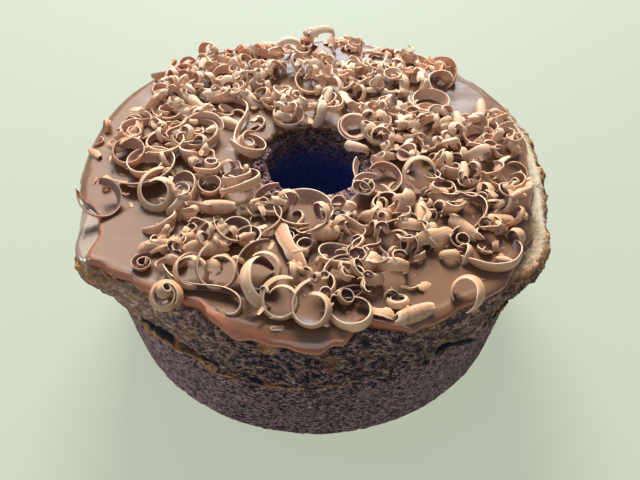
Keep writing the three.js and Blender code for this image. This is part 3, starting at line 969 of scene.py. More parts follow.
@dataclass
class Sponge:
    """The ring of dark crumb."""

    form: CakeForm = CAKE
    steps: int = 720
    crumb: float = 0.95
    crumb_layers: tuple[Layer, ...] = ((1, 5.5, 11), (0.8, 2.6, 12), (0.6, 1.5, 13))
    smooth_crumb: float = 0.21
    flatten: float = 1.8
    pit_depth: float = 1.9
    fine_pit: float = 0.5
    large_pores: Pores = Pores(1.7, 5.2, 5, 0.22, (0.06, 0.4))
    small_pores: Pores = Pores(1.9, 2.7, 6, 0.15, (0.1, 0.42))
    pore_warp: float = 1.6
    hole_reach: float = 40
    hole_torn: float = 0.7
    hole_painted_shade: float = 0.92
    film_width: float = 3
    film_fade: float = 0.85
    film_flush: float = 0.85
    lip_shade: float = 0.46

    def zone_share(self, row: Array, zone: Zone) -> tuple[Array, Array]:
        """Finds the rows of one zone and how far along it each one is.

        Args:
            row: Row numbers of all vertices.
            zone: The zone to look for.

        Returns:
            A mask of the zone's vertices, and shares from 0 to just under 1.
        """
        start = 0
        for one in Zone:
            if one is zone:
                break
            start += one.value
        return (row >= start) & (row < start + zone.value), (row - start) / zone.value

    def plain(self, angle: Array, row: Array) -> tuple[Array, Array, Array, Array]:
        """Places each vertex on the plain form.

        Args:
            angle: Angles in radians.
            row: Row numbers.

        Returns:
            Radius, height, and the radial and upward parts of the outward direction.
        """
        f = self.form
        r, z = np.zeros(len(row)), np.zeros(len(row))
        out, up = np.zeros(len(row)), np.zeros(len(row))
        inner, bend = f.hole_top_radius + f.hole_round, f.shoulder
        rim = f.rim_radius + f.lip(angle)
        m, t = self.zone_share(row, Zone.BASE)
        r[m] = lerp(f.hole_base_radius, f.base_radius - f.base_round, t * 1.5)[m]
        m, t = self.zone_share(row, Zone.SIDE)
        z[m] = lerp(f.base_round, f.height - bend, t)[m]
        side = lerp(f.side_radius(angle, z), rim, smoothstep(t, 0.88, 1))
        r[m], out[m] = side[m], 1
        m, t = self.zone_share(row, Zone.ROUND)
        on = f.on_top(angle, rim - bend + bend * (math.pi / 2) * (1 - t))
        r[m], z[m], out[m], up[m] = on[0][m], on[1][m], on[2][m], on[3][m]
        m, t = self.zone_share(row, Zone.TOP)
        on = f.on_top(angle, lerp(rim - bend, inner, t))
        r[m], z[m], up[m] = on[0][m], on[1][m], 1
        m, t = self.zone_share(row, Zone.HOLE)
        z[m] = lerp(f.height - f.hole_round * smoothstep(t, -0.05, 0.2), 0, smoothstep(t, 0.05, 1.06))[m]
        wall = lerp(f.hole_base_radius, f.hole_top_radius, z / f.height)
        wall = wall + f.hole_wave * unevenness(angle, z / 18, 15)
        r[m] = lerp(inner, wall, smoothstep(t, -0.1, 0.14))[m]
        out[m], up[m] = -1, 0
        return r, z, out, up

    def film(self, angle: Array, length: Array) -> Array:
        """Gives the pale film of glaze on the rim past the icing, at the right.

        Args:
            angle: Angles in radians.
            length: Lengths along the top from the axis, 0 off the top.

        Returns:
            One value from 0 to 1 for each place.
        """
        f = self.form
        outer = f.around(f.icing_outer, angle)
        right = np.clip(f.bump(angle, 352, 42) + 0.6 * f.bump(angle, 40, 30), 0, 1)
        past_rim = smoothstep(length - f.rim_radius - f.lip(angle), -4.5, -1)
        reached = smoothstep(length, outer - self.film_width, outer)
        return reached * right * (1 - self.film_fade * past_rim)

    def marks(self, s: Surface) -> dict[str, Array]:
        """Works out the values that the finish reads.

        Args:
            s: The sponge's vertices, moved to their places.

        Returns:
            Values from 0 to 1 by name.
        """
        f = self.form
        side = ~s.hole
        # Painted shade: the cracks' insides, and the shadow under the icing's lip at the front.
        dark = np.max([crack.dark(s.angle, s.z) for crack in CRACKS], axis=0)
        under_lip = self.lip_shade * smoothstep(s.z, 62, 72) * f.bump(s.angle, *CRACKED_FRONT)
        # Golden crumb: random spots in the torn band, and painted highlight on the ledges under the cracks
        # and the tops of the lips, most on raised crumbs.
        lipped = np.maximum(smoothstep(f.lip(s.angle), 1.5, 6), 0.8 * f.bump(s.angle, 5, 40))
        rim = bell(s.z, f.height - 1.5, 2.8) * lipped
        ledge = sum(crack.ledge(s.angle, s.z) for crack in CRACKS)
        spots = smoothstep(grain(s.plain, 6, 21), 0.3, 0.8)
        high = lerp(0.45, 1, smoothstep(s.rough, 0.0, 1.1))
        gold = np.clip((1.7 * ledge + 1.2 * rim + 0.6 * spots * s.torn) * high, 0, 1)
        # Painted light: the left side and a patch at the right front are paler as if lit, most in the
        # upper band.
        painted_sunlight = f.bump(s.angle, 221, 25) + 0.4 * f.bump(s.angle, 308, 22)
        # Painted shade on the back of the sponge, which also weakens the golden highlights there.
        painted_back_shade = f.bump(s.angle, 90, 90) * side
        inner = f.around(f.icing_inner, s.angle)
        inner_film = 0.5 * (s.length > 1) * (1 - smoothstep(s.length, inner - 1, inner + 3))
        return {
            "torn": s.torn,
            # Painted shade in the cracks and under the icing's lip.
            "crack": np.maximum(dark, under_lip) * side,
            # Painted shade in the dented hollows and small pores.
            "pit": np.clip(0.45 * s.torn * s.hollow + 0.3 * s.small, 0, 1),
            "painted_sunlight": painted_sunlight * lerp(0.4, 1, smoothstep(s.z, 42, 62)) * side,
            "gold": gold * side * (1 - 0.6 * painted_back_shade),
            "painted_back_shade": painted_back_shade,
            # Painted shade, darker deeper down the hole.
            "hole": s.hole * smoothstep(f.height - s.z, 2, 22) * self.hole_painted_shade,
            "film": np.clip(s.film + inner_film, 0, 1),
        }

    def build(self) -> bpy.types.Object:
        """Makes the sponge with its crags, pores and golden crumbs.

        Returns:
            The finished piece.
        """
        f = self.form
        kept: dict[str, Array] = {}

        def place(angle: Array, row: Array) -> Array:
            """Moves the plain form's vertices along their outward direction.

            Args:
                angle: Angles in radians.
                row: Row numbers.

            Returns:
                The vertices' places.
            """
            r, z, out, up = self.plain(angle, row)
            p = np.stack([r * np.cos(angle), r * np.sin(angle), z], 1)
            hole = r < self.hole_reach
            torn = np.where(hole, self.hole_torn, smoothstep(z - f.tear_at(angle), -3, 4))
            patches = grain(p * (1, 1, self.flatten), 11, 41)
            rough = sum(share * grain(p, pitch, seed) for share, pitch, seed in self.crumb_layers)
            warp = p + self.pore_warp * np.stack([grain(p, 4, seed) for seed in (51, 52, 53)], 1)
            pit, small = self.large_pores.depth(warp, patches), self.small_pores.depth(warp, patches)
            crack = np.max([crack.mouth(angle, z) for crack in CRACKS], axis=0)
            hollow = np.clip(np.maximum(pit, 1.25 * crack * (0.75 + 0.25 * patches)), 0, 1) * ~hole
            fine = grain(p * (1, 1, self.flatten), 3.2, 14) + grain(p, 1.6, 15)
            move = torn * (self.crumb * rough - self.pit_depth * hollow)
            move += (1 - torn) * self.smooth_crumb * fine - self.fine_pit * small * lerp(0.6, 1, torn)
            length = np.where(up > 0.5, r, 0)
            film = self.film(angle, length)
            move *= smoothstep(z, 0.3, 3) * (1 - self.film_flush * film)
            r, z = r + out * move, z + up * move
            kept.update(self.marks(Surface(p, angle, z, hole, torn, rough, hollow, small, film, length)))
            return np.stack([r * np.cos(angle), r * np.sin(angle), z], 1)

        mesh = ring_mesh("sponge_ring", sum(zone.value for zone in Zone), self.steps, place)
        set_values(mesh, **kept)
        return add_piece(mesh, "sponge", SpongeFinish().material())


# Icing


@dataclass
class Icing:
    """The glossy coat on top, which droops over the front."""

    form: CakeForm = CAKE
    steps: int = 560
    over_rows: int = 110
    under_rows: int = 10
    edge_round: float = 1.5
    edge_waves: tuple[Layer, ...] = ((0.9, 3, 64), (0.5, 5, 150))
    inner_waves: float = 0.8
    top_waves: tuple[Layer, ...] = ((0.35, 22, 31), (0.15, 7, 32))
    bead: float = 0.2
    bead_inward: float = 2.5
    bead_half: float = 1.6
    sunk: float = 1.2
    fringe: Range = (0.2, 1.8)
    fringe_front: float = 1.1
    step_half: float = 0.9
    smear: float = 0.7

    def marks(self, angle: Array, length: Array, outer: Array, over: Array) -> dict[str, Array]:
        """Works out the values that the finish reads.

        Args:
            angle: Angles in radians.
            length: Lengths along the top from the axis.
            outer: The outer edge's length.
            over: True for the rows over the top.

        Returns:
            Values from 0 to 1 by name.
        """
        f = self.form
        front = f.bump(angle, f.front_angle, f.front_spread)
        fringe = 1 - smoothstep((outer - length) / (1 + self.fringe_front * front), *self.fringe)
        past = length - f.around(f.icing_step, angle)
        fringe = np.maximum(fringe * (1 - 0.7 * smoothstep(past, 0, 1)), bell(past, 0, self.step_half))
        return {
            "edge": np.where(over, fringe, 1) * lerp(0.6, 0.95, front),
            "smear": smoothstep(past, 0.2, 1.4) * self.smear,
        }

    def build(self) -> bpy.types.Object:
        """Makes the coat with its rounded, wavy edge.

        Returns:
            The finished piece.
        """
        f = self.form
        kept: dict[str, Array] = {}

        def place(angle: Array, row: Array) -> Array:
            """Sets the rows over the top and back under it.

            Args:
                angle: Angles in radians.
                row: Row numbers.

            Returns:
                The vertices' places.
            """
            over = row < self.over_rows
            there = np.sin(math.pi / 2 * row / (self.over_rows - 1))
            t = np.where(over, there, 1 - (row - self.over_rows + 1) / (self.under_rows + 1))
            wavy = sum(depth * unevenness(angle, v, cells) for depth, v, cells in self.edge_waves)
            inner = f.around(f.icing_inner, angle) + self.inner_waves * wavy
            outer = f.around(f.icing_outer, angle) + wavy
            length = lerp(inner, outer, t)
            r, z, out, up = f.on_top(angle, length)
            edge = np.minimum(length - inner, outer - length)
            rounded = np.sqrt(1 - (1 - np.clip(edge / self.edge_round, 0, 1)) ** 2)
            flat = np.stack([r * np.cos(angle), r * np.sin(angle), z], 1)
            lift = f.icing_thickness(angle, length)
            lift += self.bead * bell(outer - length, self.bead_inward, self.bead_half)
            lift += sum(depth * grain(flat, pitch, seed) for depth, pitch, seed in self.top_waves)
            lift = np.where(over, lift * rounded, -self.sunk)
            kept.update(self.marks(angle, length, outer, over))
            r, z = r + lift * out, z + lift * up
            return np.stack([r * np.cos(angle), r * np.sin(angle), z], 1)

        mesh = ring_mesh("icing_coat", self.over_rows + self.under_rows, self.steps, place)
        set_values(mesh, **kept)
        return add_piece(mesh, "icing", IcingFinish().material())


# Curls


class CurlKind(Enum):
    """The kinds of shaved curl."""

    HOOP = "hoop"
    SCROLL = "scroll"
    WHEEL = "wheel"
    ROLL = "roll"
    CASHEW = "cashew"
    CRESCENT = "crescent"
    RIBBON = "ribbon"
    CANE = "cane"
    STRAP = "strap"


@dataclass(frozen=True)
class CurlForm:
    """How a kind of curl bends, lies and narrows."""

    turns: float
    sway: float
    tilt: float
    taper: float
    turn: float = 0
    hook: float = 0
    cup: float = -0.09
    cone: float = 0.1
    ends: float = 0
    twist: float = 22
    climb: float = 0.6
    open: bool = False


FORMS = {
    CurlKind.HOOP: CurlForm(1.15, 0.3, 14, 0.5, cone=0.12),
    CurlKind.SCROLL: CurlForm(1.75, 0.85, 10, 0.5),
    CurlKind.WHEEL: CurlForm(0.9, 0.1, -72, 0.4),
    CurlKind.ROLL: CurlForm(0.85, 0.2, -90, 0.1, turn=90, cup=-0.03, ends=0.3, twist=0, climb=0.15),
    CurlKind.CASHEW: CurlForm(0.72, 0.1, -62, 0.3, cup=-0.18, twist=12),
    CurlKind.CRESCENT: CurlForm(0.6, 0.15, -20, 0.7, cup=-0.12),
    CurlKind.RIBBON: CurlForm(0.05, 1.5, -12, 0.4, cone=0, open=True),
    CurlKind.CANE: CurlForm(0.09, -1.4, -12, 0.4, hook=1.4, cone=0, open=True),
    CurlKind.STRAP: CurlForm(0.1, 0.25, -78, 0.45, cone=0, open=True),
}


@dataclass(frozen=True)
class Curl:
    """One curl and its place on the cake."""

    kind: CurlKind
    x: float
    y: float
    size: float
    width: float
    heading: float
    lean: float = 0
    flare: float = 0
    tone: float = 0.5


LARGE_CURLS = (
    ("wheel", -88, -34, 17, 3.5, 45, 108), ("hoop", -66, -29, 15, 4.5, -10, 24, -20),
    ("scroll", -72, -11, 18, 6, 200, -6), ("hoop", -83, -1, 13, 6, 20, 2),
    ("hoop", -67, 4, 17, 5, 180, -8), ("hoop", -53, 0, 12, 6, 200, 0),
    ("crescent", -46, -12, 13, 5, 80, 0), ("crescent", -54, -23, 16, 5, 110, 0),
    ("scroll", -31, -21, 15, 4, 200, 14), ("hoop", -18, -31, 14, 4.5, 330, -6),
    ("roll", -40, -34, 5, 14, 0, 0), ("cashew", -55, -34, 12, 5, 60, 0),
    ("crescent", -61, -45, 14, 5, 50, 0), ("hoop", -33, -50, 12, 5, 60, 10),
    ("roll", -40, -58, 5.5, 12.5, 10, 0), ("hoop", -37.5, -74, 15, 5, 0, 26, -28),
    ("hoop", -47.5, -74, 12, 5, 20, 20, -25), ("hoop", -21, -72, 16.5, 5.5, -15, 24, -12),
    ("crescent", -22, -79, 20, 5, 270, -30), ("cane", -40, -81, 47.5, 3.5, 172, 0),
    ("scroll", -55, -84.5, 10, 4.5, 0, 20, -9), ("hoop", -12.5, -88, 13.5, 6, 0, 24, -36),
    ("hoop", -2, -92, 14.5, 6, -20, 26, -32), ("hoop", -4, -39, 22, 5, 170, -6),
    ("hoop", 13, -89.5, 17, 5, 320, -10, -8), ("hoop", 10, -75, 16, 4.5, 30, 8, -10),
    ("hoop", 9, -66, 14, 5, 160, 6, 15), ("roll", 5, -50, 6, 10, 0, 0), ("ribbon", 16, -46, 20, 4, -30, 0),
    ("cashew", 26, -42, 12, 5, 20, 0), ("crescent", 37, -45, 21, 4, 160, 8),
    ("cashew", 38, -49, 10.5, 5, 0, 0), ("hoop", 30, -33, 11, 5, 270, 0),
    ("cashew", 38, -34, 12, 6, 80, 0), ("roll", 53, -29, 5.5, 14, -55, 0),
    ("crescent", 58, -35, 12, 5, 45, 0), ("crescent", 66, -38, 20, 4.5, 85, 0),
    ("roll", 60, -47, 5, 15, -50, 0), ("roll", 75, -43, 5, 12, 0, 0), ("cashew", 80, -33, 12, 5, 100, 0),
    ("strap", 47, -54, 21, 5, 28, 0), ("crescent", 72, -65, 22, 5, 15, 10),
    ("wheel", 57, -84, 12.5, 6, 135, 27), ("roll", 37, -91, 5, 15, 22, 0),
    ("hoop", 31, -56, 13, 5, -20, 14, -15), ("cashew", 29.5, -71, 12.5, 5, 0, 0),
    ("hoop", 27, -18, 18, 4.5, 30, 0), ("hoop", 84, -17, 13, 4.5, 20, 14, -18),
    ("scroll", 61, -9, 14, 5, 150, -6), ("wheel", 72, -5, 11, 4.5, 30, 0),
    ("hoop", 53, 12, 16, 5, 330, -8), ("hoop", 53, 35, 17, 5, 100, -10), ("hoop", 38, 24, 13, 4.5, 20, -8),
    ("scroll", 29, 12, 11, 4.5, 60, 0), ("scroll", 18, 17, 12, 4.5, 20, 8),
    ("crescent", 76, 14, 13, 5, 80, 0), ("hoop", 48, 66, 16, 5, 150, -8), ("hoop", -46, 60, 15, 6, 40, -6),
    ("hoop", -64, 54, 13, 5.5, 190, -4), ("hoop", 22, 56, 13, 5, 280, -4),
    ("wheel", 4, 90, 12.5, 4.5, 10, 0), ("wheel", -54, 79, 9, 4, 150, 0),
    ("crescent", 66, 62, 16, 5, 120, 0), ("hoop", -51, 14, 18, 5, 300, -4),
    ("roll", -56, 28, 5.5, 18, 0, 0), ("hoop", -70, 29, 12, 5.5, 20, 0), ("roll", -45, 42, 6, 15, 0, 0),
    ("roll", -60, 40, 5, 17, -50, 0), ("ribbon", -34, 20, 52, 4, 72, 0),
    ("crescent", -84, 16, 15, 5, 90, 0), ("hoop", -29, 2, 14, 5, 100, 10),
    ("hoop", -13, 25, 12, 5.5, 30, 0), ("cashew", 3, 27, 13, 5, 90, 0),
    ("crescent", 30, 64, 13, 4, 150, 0), ("cashew", -27, 55, 12.5, 5, 60, 0),
    ("hoop", -28, 72, 12.5, 4.5, 30, 0), ("crescent", 2, 67, 12.5, 4.5, 190, 0),
    ("strap", -10.5, -57, 29, 6, -75, 0),
)
SMALL_CURLS = (
    ("cashew", -50, -38, 8, 4, 60), ("scroll", -66, -29, 8, 3, 0), ("roll", -65, -58, 5, 8, 20),
    ("cashew", -52, -54, 9, 4, 30), ("cashew", -48, -61, 9, 4, 10), ("cashew", -55, -66, 8, 4, -40),
    ("scroll", -67, -66, 6, 4, 0), ("hoop", -26, -53, 9, 4, 200), ("crescent", -17, -42, 13, 3, 95),
    ("scroll", -5, -55, 7, 3.5, 40), ("cashew", -6, -62, 8, 4, 20), ("cashew", -8, -72, 9, 4, 90),
    ("hoop", -45, -22, 9, 4, 10), ("scroll", -45, -14, 7, 4, 130), ("scroll", -30, 3, 6, 4, 50),
    ("roll", -39, 22, 5, 9, -30), ("crescent", -75, 18, 12, 4, 100), ("crescent", -69, 15, 12, 4, 260),
    ("roll", -31, 40, 5, 12, -50), ("hoop", -20, 38, 9, 4, 80), ("strap", -12, 45, 20, 4, -10),
    ("strap", -11, 42, 17, 3, -16), ("cashew", -12, 30, 9, 4.5, 10), ("cashew", 19, 4, 10, 4.5, 0),
    ("roll", 34, 3, 4, 10, 5), ("strap", 31, -4, 12, 4, 5), ("hoop", 41, -3, 7, 4, 300),
    ("roll", 44, -9, 4.5, 12, 40), ("hoop", 41, 10, 8, 4, 140), ("crescent", 23, 26, 9, 4, 80),
    ("roll", 44, -38, 5, 11, 80), ("roll", 44, -17, 5, 14, 80), ("scroll", 54, -17, 8, 4, 220),
    ("hoop", 66, -18, 9, 4, 100), ("crescent", 64, -23, 10, 4, 20), ("scroll", 21, -24, 7, 4, 0),
    ("cashew", 53, -62, 8, 4, 0), ("cashew", 60, -61, 8, 4, 80), ("scroll", 58, -52, 6, 4, 0),
    ("crescent", 17, -56, 10, 3, 70), ("cashew", 22, -69, 9, 4.5, 80), ("cashew", 22, -77, 8, 4.5, 0),
    ("crescent", 5, -80, 10, 3, 100), ("hoop", 11, -84, 6, 3, 60), ("scroll", 31, -85, 7, 3, 200),
    ("strap", 25, -91, 9, 5, 0), ("strap", 42, -77, 6, 5, 80), ("strap", 41, -62, 10, 3, 30),
    ("roll", 47, -48, 4, 9, 70), ("crescent", 66, 15, 12, 4, 80), ("crescent", 71, 11, 11, 4, 265),
    ("crescent", 81, 13, 11, 4, 95), ("roll", 79, 32, 4, 15, 85), ("cashew", 43, 50, 12, 5, 90),
    ("cashew", 52, 52, 12, 5, 90), ("hoop", 9, 56, 9, 4, 190), ("crescent", 60, 52, 12, 4, 200),
    ("hoop", -8, 80, 9, 4, 250), ("scroll", -83, 12, 8, 4, 30), ("cashew", 72, -28, 9, 4, 100),
    ("crescent", 85, -26, 11, 4, 60), ("ribbon", -6, -43, 22, 3, 62), ("scroll", -55, -84.5, 4.5, 4, 90),
)
SMALL_KINDS = (
    *4 * (CurlKind.CASHEW,), *5 * (CurlKind.CRESCENT,), *2 * (CurlKind.WHEEL,), *2 * (CurlKind.RIBBON,),
    *2 * (CurlKind.STRAP,), CurlKind.ROLL, CurlKind.HOOP,
)
BARE = ((-78, -52, 20), (52, -71, 17), (76, 42, 20), (-88, 45, 14))
CLUSTERS = (
    (-51, -59, 13, 16), (8, -71, 15, 12), (26, -77, 11, 9), (-22, -46, 12, 10), (62, -36, 18, 14),
    (-32, -62, 14, 12), (-8, -78, 13, 8), (38, -56, 12, 9), (-60, -36, 12, 7), (16, -40, 14, 10),
)


@dataclass(frozen=True)
class Blank:
    """A flat strip cut into a grid, from which curls are bent: shares along, across and through."""

    shares: Array
    faces: Array

    @staticmethod
    def cut(along: int, across: int) -> "Blank":
        """Cuts a strip.

        Args:
            along: How many steps go along it.
            across: How many steps go across it.

        Returns:
            The strip, one unit long, wide and thick.
        """
        bm = bmesh.new()
        bmesh.ops.create_cube(bm, size=1)
        for axis, count in ((0, along), (1, across)):
            edges = [e for e in bm.edges if abs(e.verts[0].co[axis] - e.verts[1].co[axis]) > 0.5]
            bmesh.ops.subdivide_edges(bm, edges=edges, cuts=count - 1, use_grid_fill=True)
        bm.verts.index_update()
        shares = np.array([v.co[:] for v in bm.verts])
        shares[:, 1] = 0.5 * np.sign(shares[:, 1]) * (1 - (1 - np.abs(2 * shares[:, 1])) ** 1.7)
        faces = np.array([[v.index for v in face.verts] for face in bm.faces])
        bm.free()
        return Blank(shares, faces)


@dataclass
class Strip:
    """One bent curl: its places, its map along the ribbon and the blank that it was bent from."""

    curl: Curl
    places: Array
    along: Array
    blank: Blank


class HeightMap:
    """The height of what lies on the cake, cell by cell, so that more can be laid on it."""

    def __init__(self, form: CakeForm, reach: float = 116, cell: float = 1.0) -> None:
        """Starts from the bare icing, with nothing past the rim and in the hole.

        Args:
            form: The cake.
            reach: Half the side of the square that is mapped.
            cell: The side of a cell.
        """
        self.reach, self.cell = reach, cell
        line = np.arange(-reach, reach, cell) + cell / 2
        x, y = np.meshgrid(line, line, indexing="ij")
        radius, angle = np.hypot(x, y), np.arctan2(y, x)
        solid = (radius > form.hole_top_radius) & (radius < form.rim_radius + form.lip(angle))
        self.height = np.where(solid, form.icing_height(x, y), 0.0)

    def cells(self, points: Array) -> tuple[Array, Array]:
        """Finds the cells under points."""
        at = np.clip(((points[:, :2] + self.reach) / self.cell).astype(int), 0, len(self.height) - 1)
        return at[:, 0], at[:, 1]

    def drop(self, points: Array, sink: float) -> Array:
        """Lowers points until they rest on what is there.

        Args:
            points: The places of one thing, at any height.
            sink: How far it presses in.

        Returns:
            The points at rest.
        """
        rest = np.percentile(self.height[self.cells(points)] - points[:, 2], 86) - sink
        return points + np.array([0, 0, rest])

    def add(self, points: Array) -> None:
        """Raises the cells under points to the points' heights."""
        np.maximum.at(self.height, self.cells(points), points[:, 2])


@dataclass
class CurlHeap:
    """All the curls, flakes and bits on the icing."""

    form: CakeForm = CAKE
    thick: float = 0.75
    sink: float = 0.8
    fill_seed: int = 20417
    fill_count: int = 7
    fill_tries: int = 900
    fill_size: Range = (12.5, 14.5)
    fill_width: Range = (3.5, 5.5)
    fill_apart: float = 0.52
    fill_edge: float = 9
    small_seed: int = 77
    small_count: int = 640
    small_size: Range = (4, 9)
    small_width: Range = (2.2, 3.8)
    cluster_scale: float = 0.8
    shown_size: float = 12.5
    shown_front: float = 40
    shown_share: float = 0.75
    flake_count: int = 80
    flake_size: Range = (3, 6.5)
    bit_count: int = 230
    bit_size: Range = (1, 2.6)
    highest: float = 94

    def large(self) -> list[Curl]:
        """Lists the large curls and those that fill the places between them.

        Returns:
            The curls, in the order in which they were laid.
        """
        tone = Draw(9)
        curls = [Curl(CurlKind(row[0]), *row[1:], tone=tone.between(0, 1)) for row in LARGE_CURLS]
        draw = Draw(self.fill_seed)
        kinds = (CurlKind.HOOP, CurlKind.ROLL, CurlKind.CASHEW, CurlKind.CRESCENT)
        placed: list[Curl] = []
        rim = self.form.rim_radius
        for _ in range(self.fill_tries):
            if len(placed) == self.fill_count:
                break
            x, y = draw.between(-rim, rim), draw.between(-rim, rim)
            kind = kinds[int(draw.between(0, len(kinds)))]
            size, width = draw.between(*self.fill_size), draw.between(*self.fill_width)
            heading, apart = draw.between(0, 360), self.fill_apart
            clear = all(math.hypot(x - o.x, y - o.y) > apart * (size + o.size) for o in curls + placed)
            if clear and self.on_icing(x, y, self.fill_edge):
                placed.append(Curl(kind, x, y, size, width, heading, tone=tone.between(0, 1)))
        return curls + placed

    def on_icing(self, x: float, y: float, edge: float, bare: float = 1) -> bool:
        """Says whether a place is on the icing and off its bare patches.

        Args:
            x: The place along X.
            y: The place along Y.
            edge: How far it stays from the icing's edges.
            bare: Scale of the bare patches.

        Returns:
            True where a curl may lie.
        """
        angle, radius = np.array([math.atan2(y, x)]), math.hypot(x, y)
        inner = self.form.around(self.form.icing_inner, angle)[0] + edge
        outer = self.form.around(self.form.icing_outer, angle)[0] - edge
        if not inner < radius < outer:
            return False
        return all(math.hypot(x - px, y - py) > bare * reach for px, py, reach in BARE)

    def listed(self) -> list[Curl]:
        """Lists the smaller curls that have a place of their own.

        Returns:
            The curls, in the order in which they were laid.
        """
        tone = Draw(19)
        return [
            Curl(CurlKind(row[0]), *row[1:], lean=tone.between(-15, 25), tone=tone.between(0, 1))
            for row in SMALL_CURLS
        ]

    def small(self) -> list[Curl]:
        """Throws the smaller curls that lie on and between the large ones.

        Returns:
            The curls, in the order in which they fall.
        """
        draw = Draw(self.small_seed)
        curls: list[Curl] = []
        for px, py, reach, count in CLUSTERS:
            for _ in range(count):
                angle, far = draw.between(0, TURN), reach * math.sqrt(draw.between(0, 1))
                x, y = px + far * math.cos(angle), py + far * math.sin(angle)
                curls.append(self.thrown(x, y, draw, self.cluster_scale))
        shown = [one for one in self.large() if one.size > self.shown_size and one.y < self.shown_front]
        while len(curls) < self.small_count:
            x, y = draw.between(-100, 100), draw.between(-100, 100)
            hides = any(math.hypot(x - one.x, y - one.y) < 0.36 * one.size for one in shown)
            if hides and draw.between(0, 1) < self.shown_share:
                continue
            if self.on_icing(x, y, 3) and draw.between(-70, 40) < y + 0.4 * x:
                curls.append(self.thrown(x, y, draw))
        return curls

    def thrown(self, x: float, y: float, draw: Draw, scale: float = 1) -> Curl:
        """Draws one small curl of any kind.

        Args:
            x: Its place along X.
            y: Its place along Y.
            draw: The run of random numbers.
            scale: Makes it smaller or larger.

        Returns:
            The curl.
        """
        kind = SMALL_KINDS[int(draw.between(0, len(SMALL_KINDS)))]
        size = scale * lerp(*self.small_size, draw.between(0, 1) ** 1.3)
        width = min(scale * draw.between(*self.small_width), 0.55 * size)
        heading, lean, tone = draw.between(0, 360), draw.between(-25, 25), draw.between(0, 1)
        if kind is CurlKind.RIBBON:
            size, width = 2 * size, 0.7 * width
        if kind is CurlKind.ROLL:
            size, width = 0.45 * size, 2.6 * width
        return Curl(kind, x, y, size, width, heading, lean, tone=tone)

    def bend(self, curl: Curl, blank: Blank) -> Strip:
        """Bends a blank into a curl, tilted and turned, round its own middle.

        Args:
            curl: The curl.
            blank: The strip to bend.

        Returns:
            The strip, with its places in millimetres and its map in metres.
        """
        form = FORMS[curl.kind]
        vary = math.sin(1.7 * curl.x + 2.3 * curl.y)
        turns, sway = form.turns * (1 + 0.12 * vary), form.sway * (1 - 0.4 * vary)
        length = curl.size if form.open else math.pi * curl.size * turns
        u, w, n = blank.shares.T
        fine = np.linspace(-0.5, 0.5, 241)
        mid = (fine[1:] + fine[:-1]) / 2
        turned = TURN * (turns * mid + sway * mid ** 2 + form.hook * mid ** 3)
        step = length / len(mid)
        px = np.concatenate([[0], np.cumsum(step * np.cos(turned))])
        py = np.concatenate([[0], np.cumsum(step * np.sin(turned))])
        a = TURN * (turns * u + sway * u ** 2 + form.hook * u ** 3)
        seed = curl.x * 0.37 + curl.y * 0.73
        wobble = 1 + 0.1 * np.sin(9 * u + seed) + 0.05 * np.sin(23 * u + 2 * seed)
        wide = curl.width * (1 - form.taper * (2 * u) ** 4) * wobble
        climb = form.climb * math.sin(3 * seed) * u
        across = w * wide + min(curl.width, curl.size) * (climb + 0.06 * np.sin(7 * u + seed))
        thick = self.thick * (1 - 0.5 * (2 * w) ** 6) * (1 - 0.5 * (2 * u) ** 8)
        off = n * thick + form.cup * wide * ((2 * w) ** 2 - 0.33)
        bias = 0 if curl.flare else 0.25 + 0.7 * math.sin(3 * seed)
        roll = np.radians(curl.flare + form.twist * (bias + 0.7 * np.sin(3 * u + seed)))
        cos, sin = np.cos(roll), np.sin(roll)
        off, across = off * cos + across * sin, across * cos - off * sin
        spread = 1 + form.cone * (0.5 + 0.7 * math.sin(seed * 5)) * 2 * w - form.ends * (2 * w) ** 8
        x = (np.interp(u, fine, px) - px.mean()) * spread + off * np.sin(a)
        y = (np.interp(u, fine, py) - py.mean()) * spread - off * np.cos(a)
        tilt, head = math.radians(form.tilt + curl.lean), math.radians(curl.heading + form.turn)
        y, z = y * math.cos(tilt) - across * math.sin(tilt), y * math.sin(tilt) + across * math.cos(tilt)
        x, y = x * math.cos(head) - y * math.sin(head), x * math.sin(head) + y * math.cos(head)
        along = np.stack([u * length + 37 * seed, w * curl.width + 11 * seed], 1) * MM
        return Strip(curl, np.stack([x + curl.x, y + curl.y, z], 1), along, blank)

    def marks(self, places: Array, strips: list[Strip]) -> dict[str, Array]:
        """Works out the values that the finish reads.

        Args:
            places: All the strips' places in millimetres.
            strips: The strips, in the same order.

        Returns:
            Values by name.
        """
        shares = np.concatenate([s.blank.shares for s in strips])
        tone = np.concatenate([np.full(len(s.places), s.curl.tone) for s in strips])
        radius, angle = np.hypot(places[:, 0], places[:, 1]), np.arctan2(places[:, 1], places[:, 0])
        # Painted light: thin curls near the rim, away from the front, glow amber as if lit from behind.
        backlit = smoothstep(radius, 66, 96) * (1 - self.form.bump(angle, 280, 75))
        thin = np.maximum(smoothstep(1 - tone, 0.2, 1), smoothstep(radius, 86, 96))
        return {
            "side": shares[:, 2] + 0.5,
            "across": 2 * shares[:, 1],
            "tone": tone,
            "amber": backlit * thin,
            # Painted light, rising towards the back of the cake.
            "lit": smoothstep(places[:, 1], -70, 50),
        }

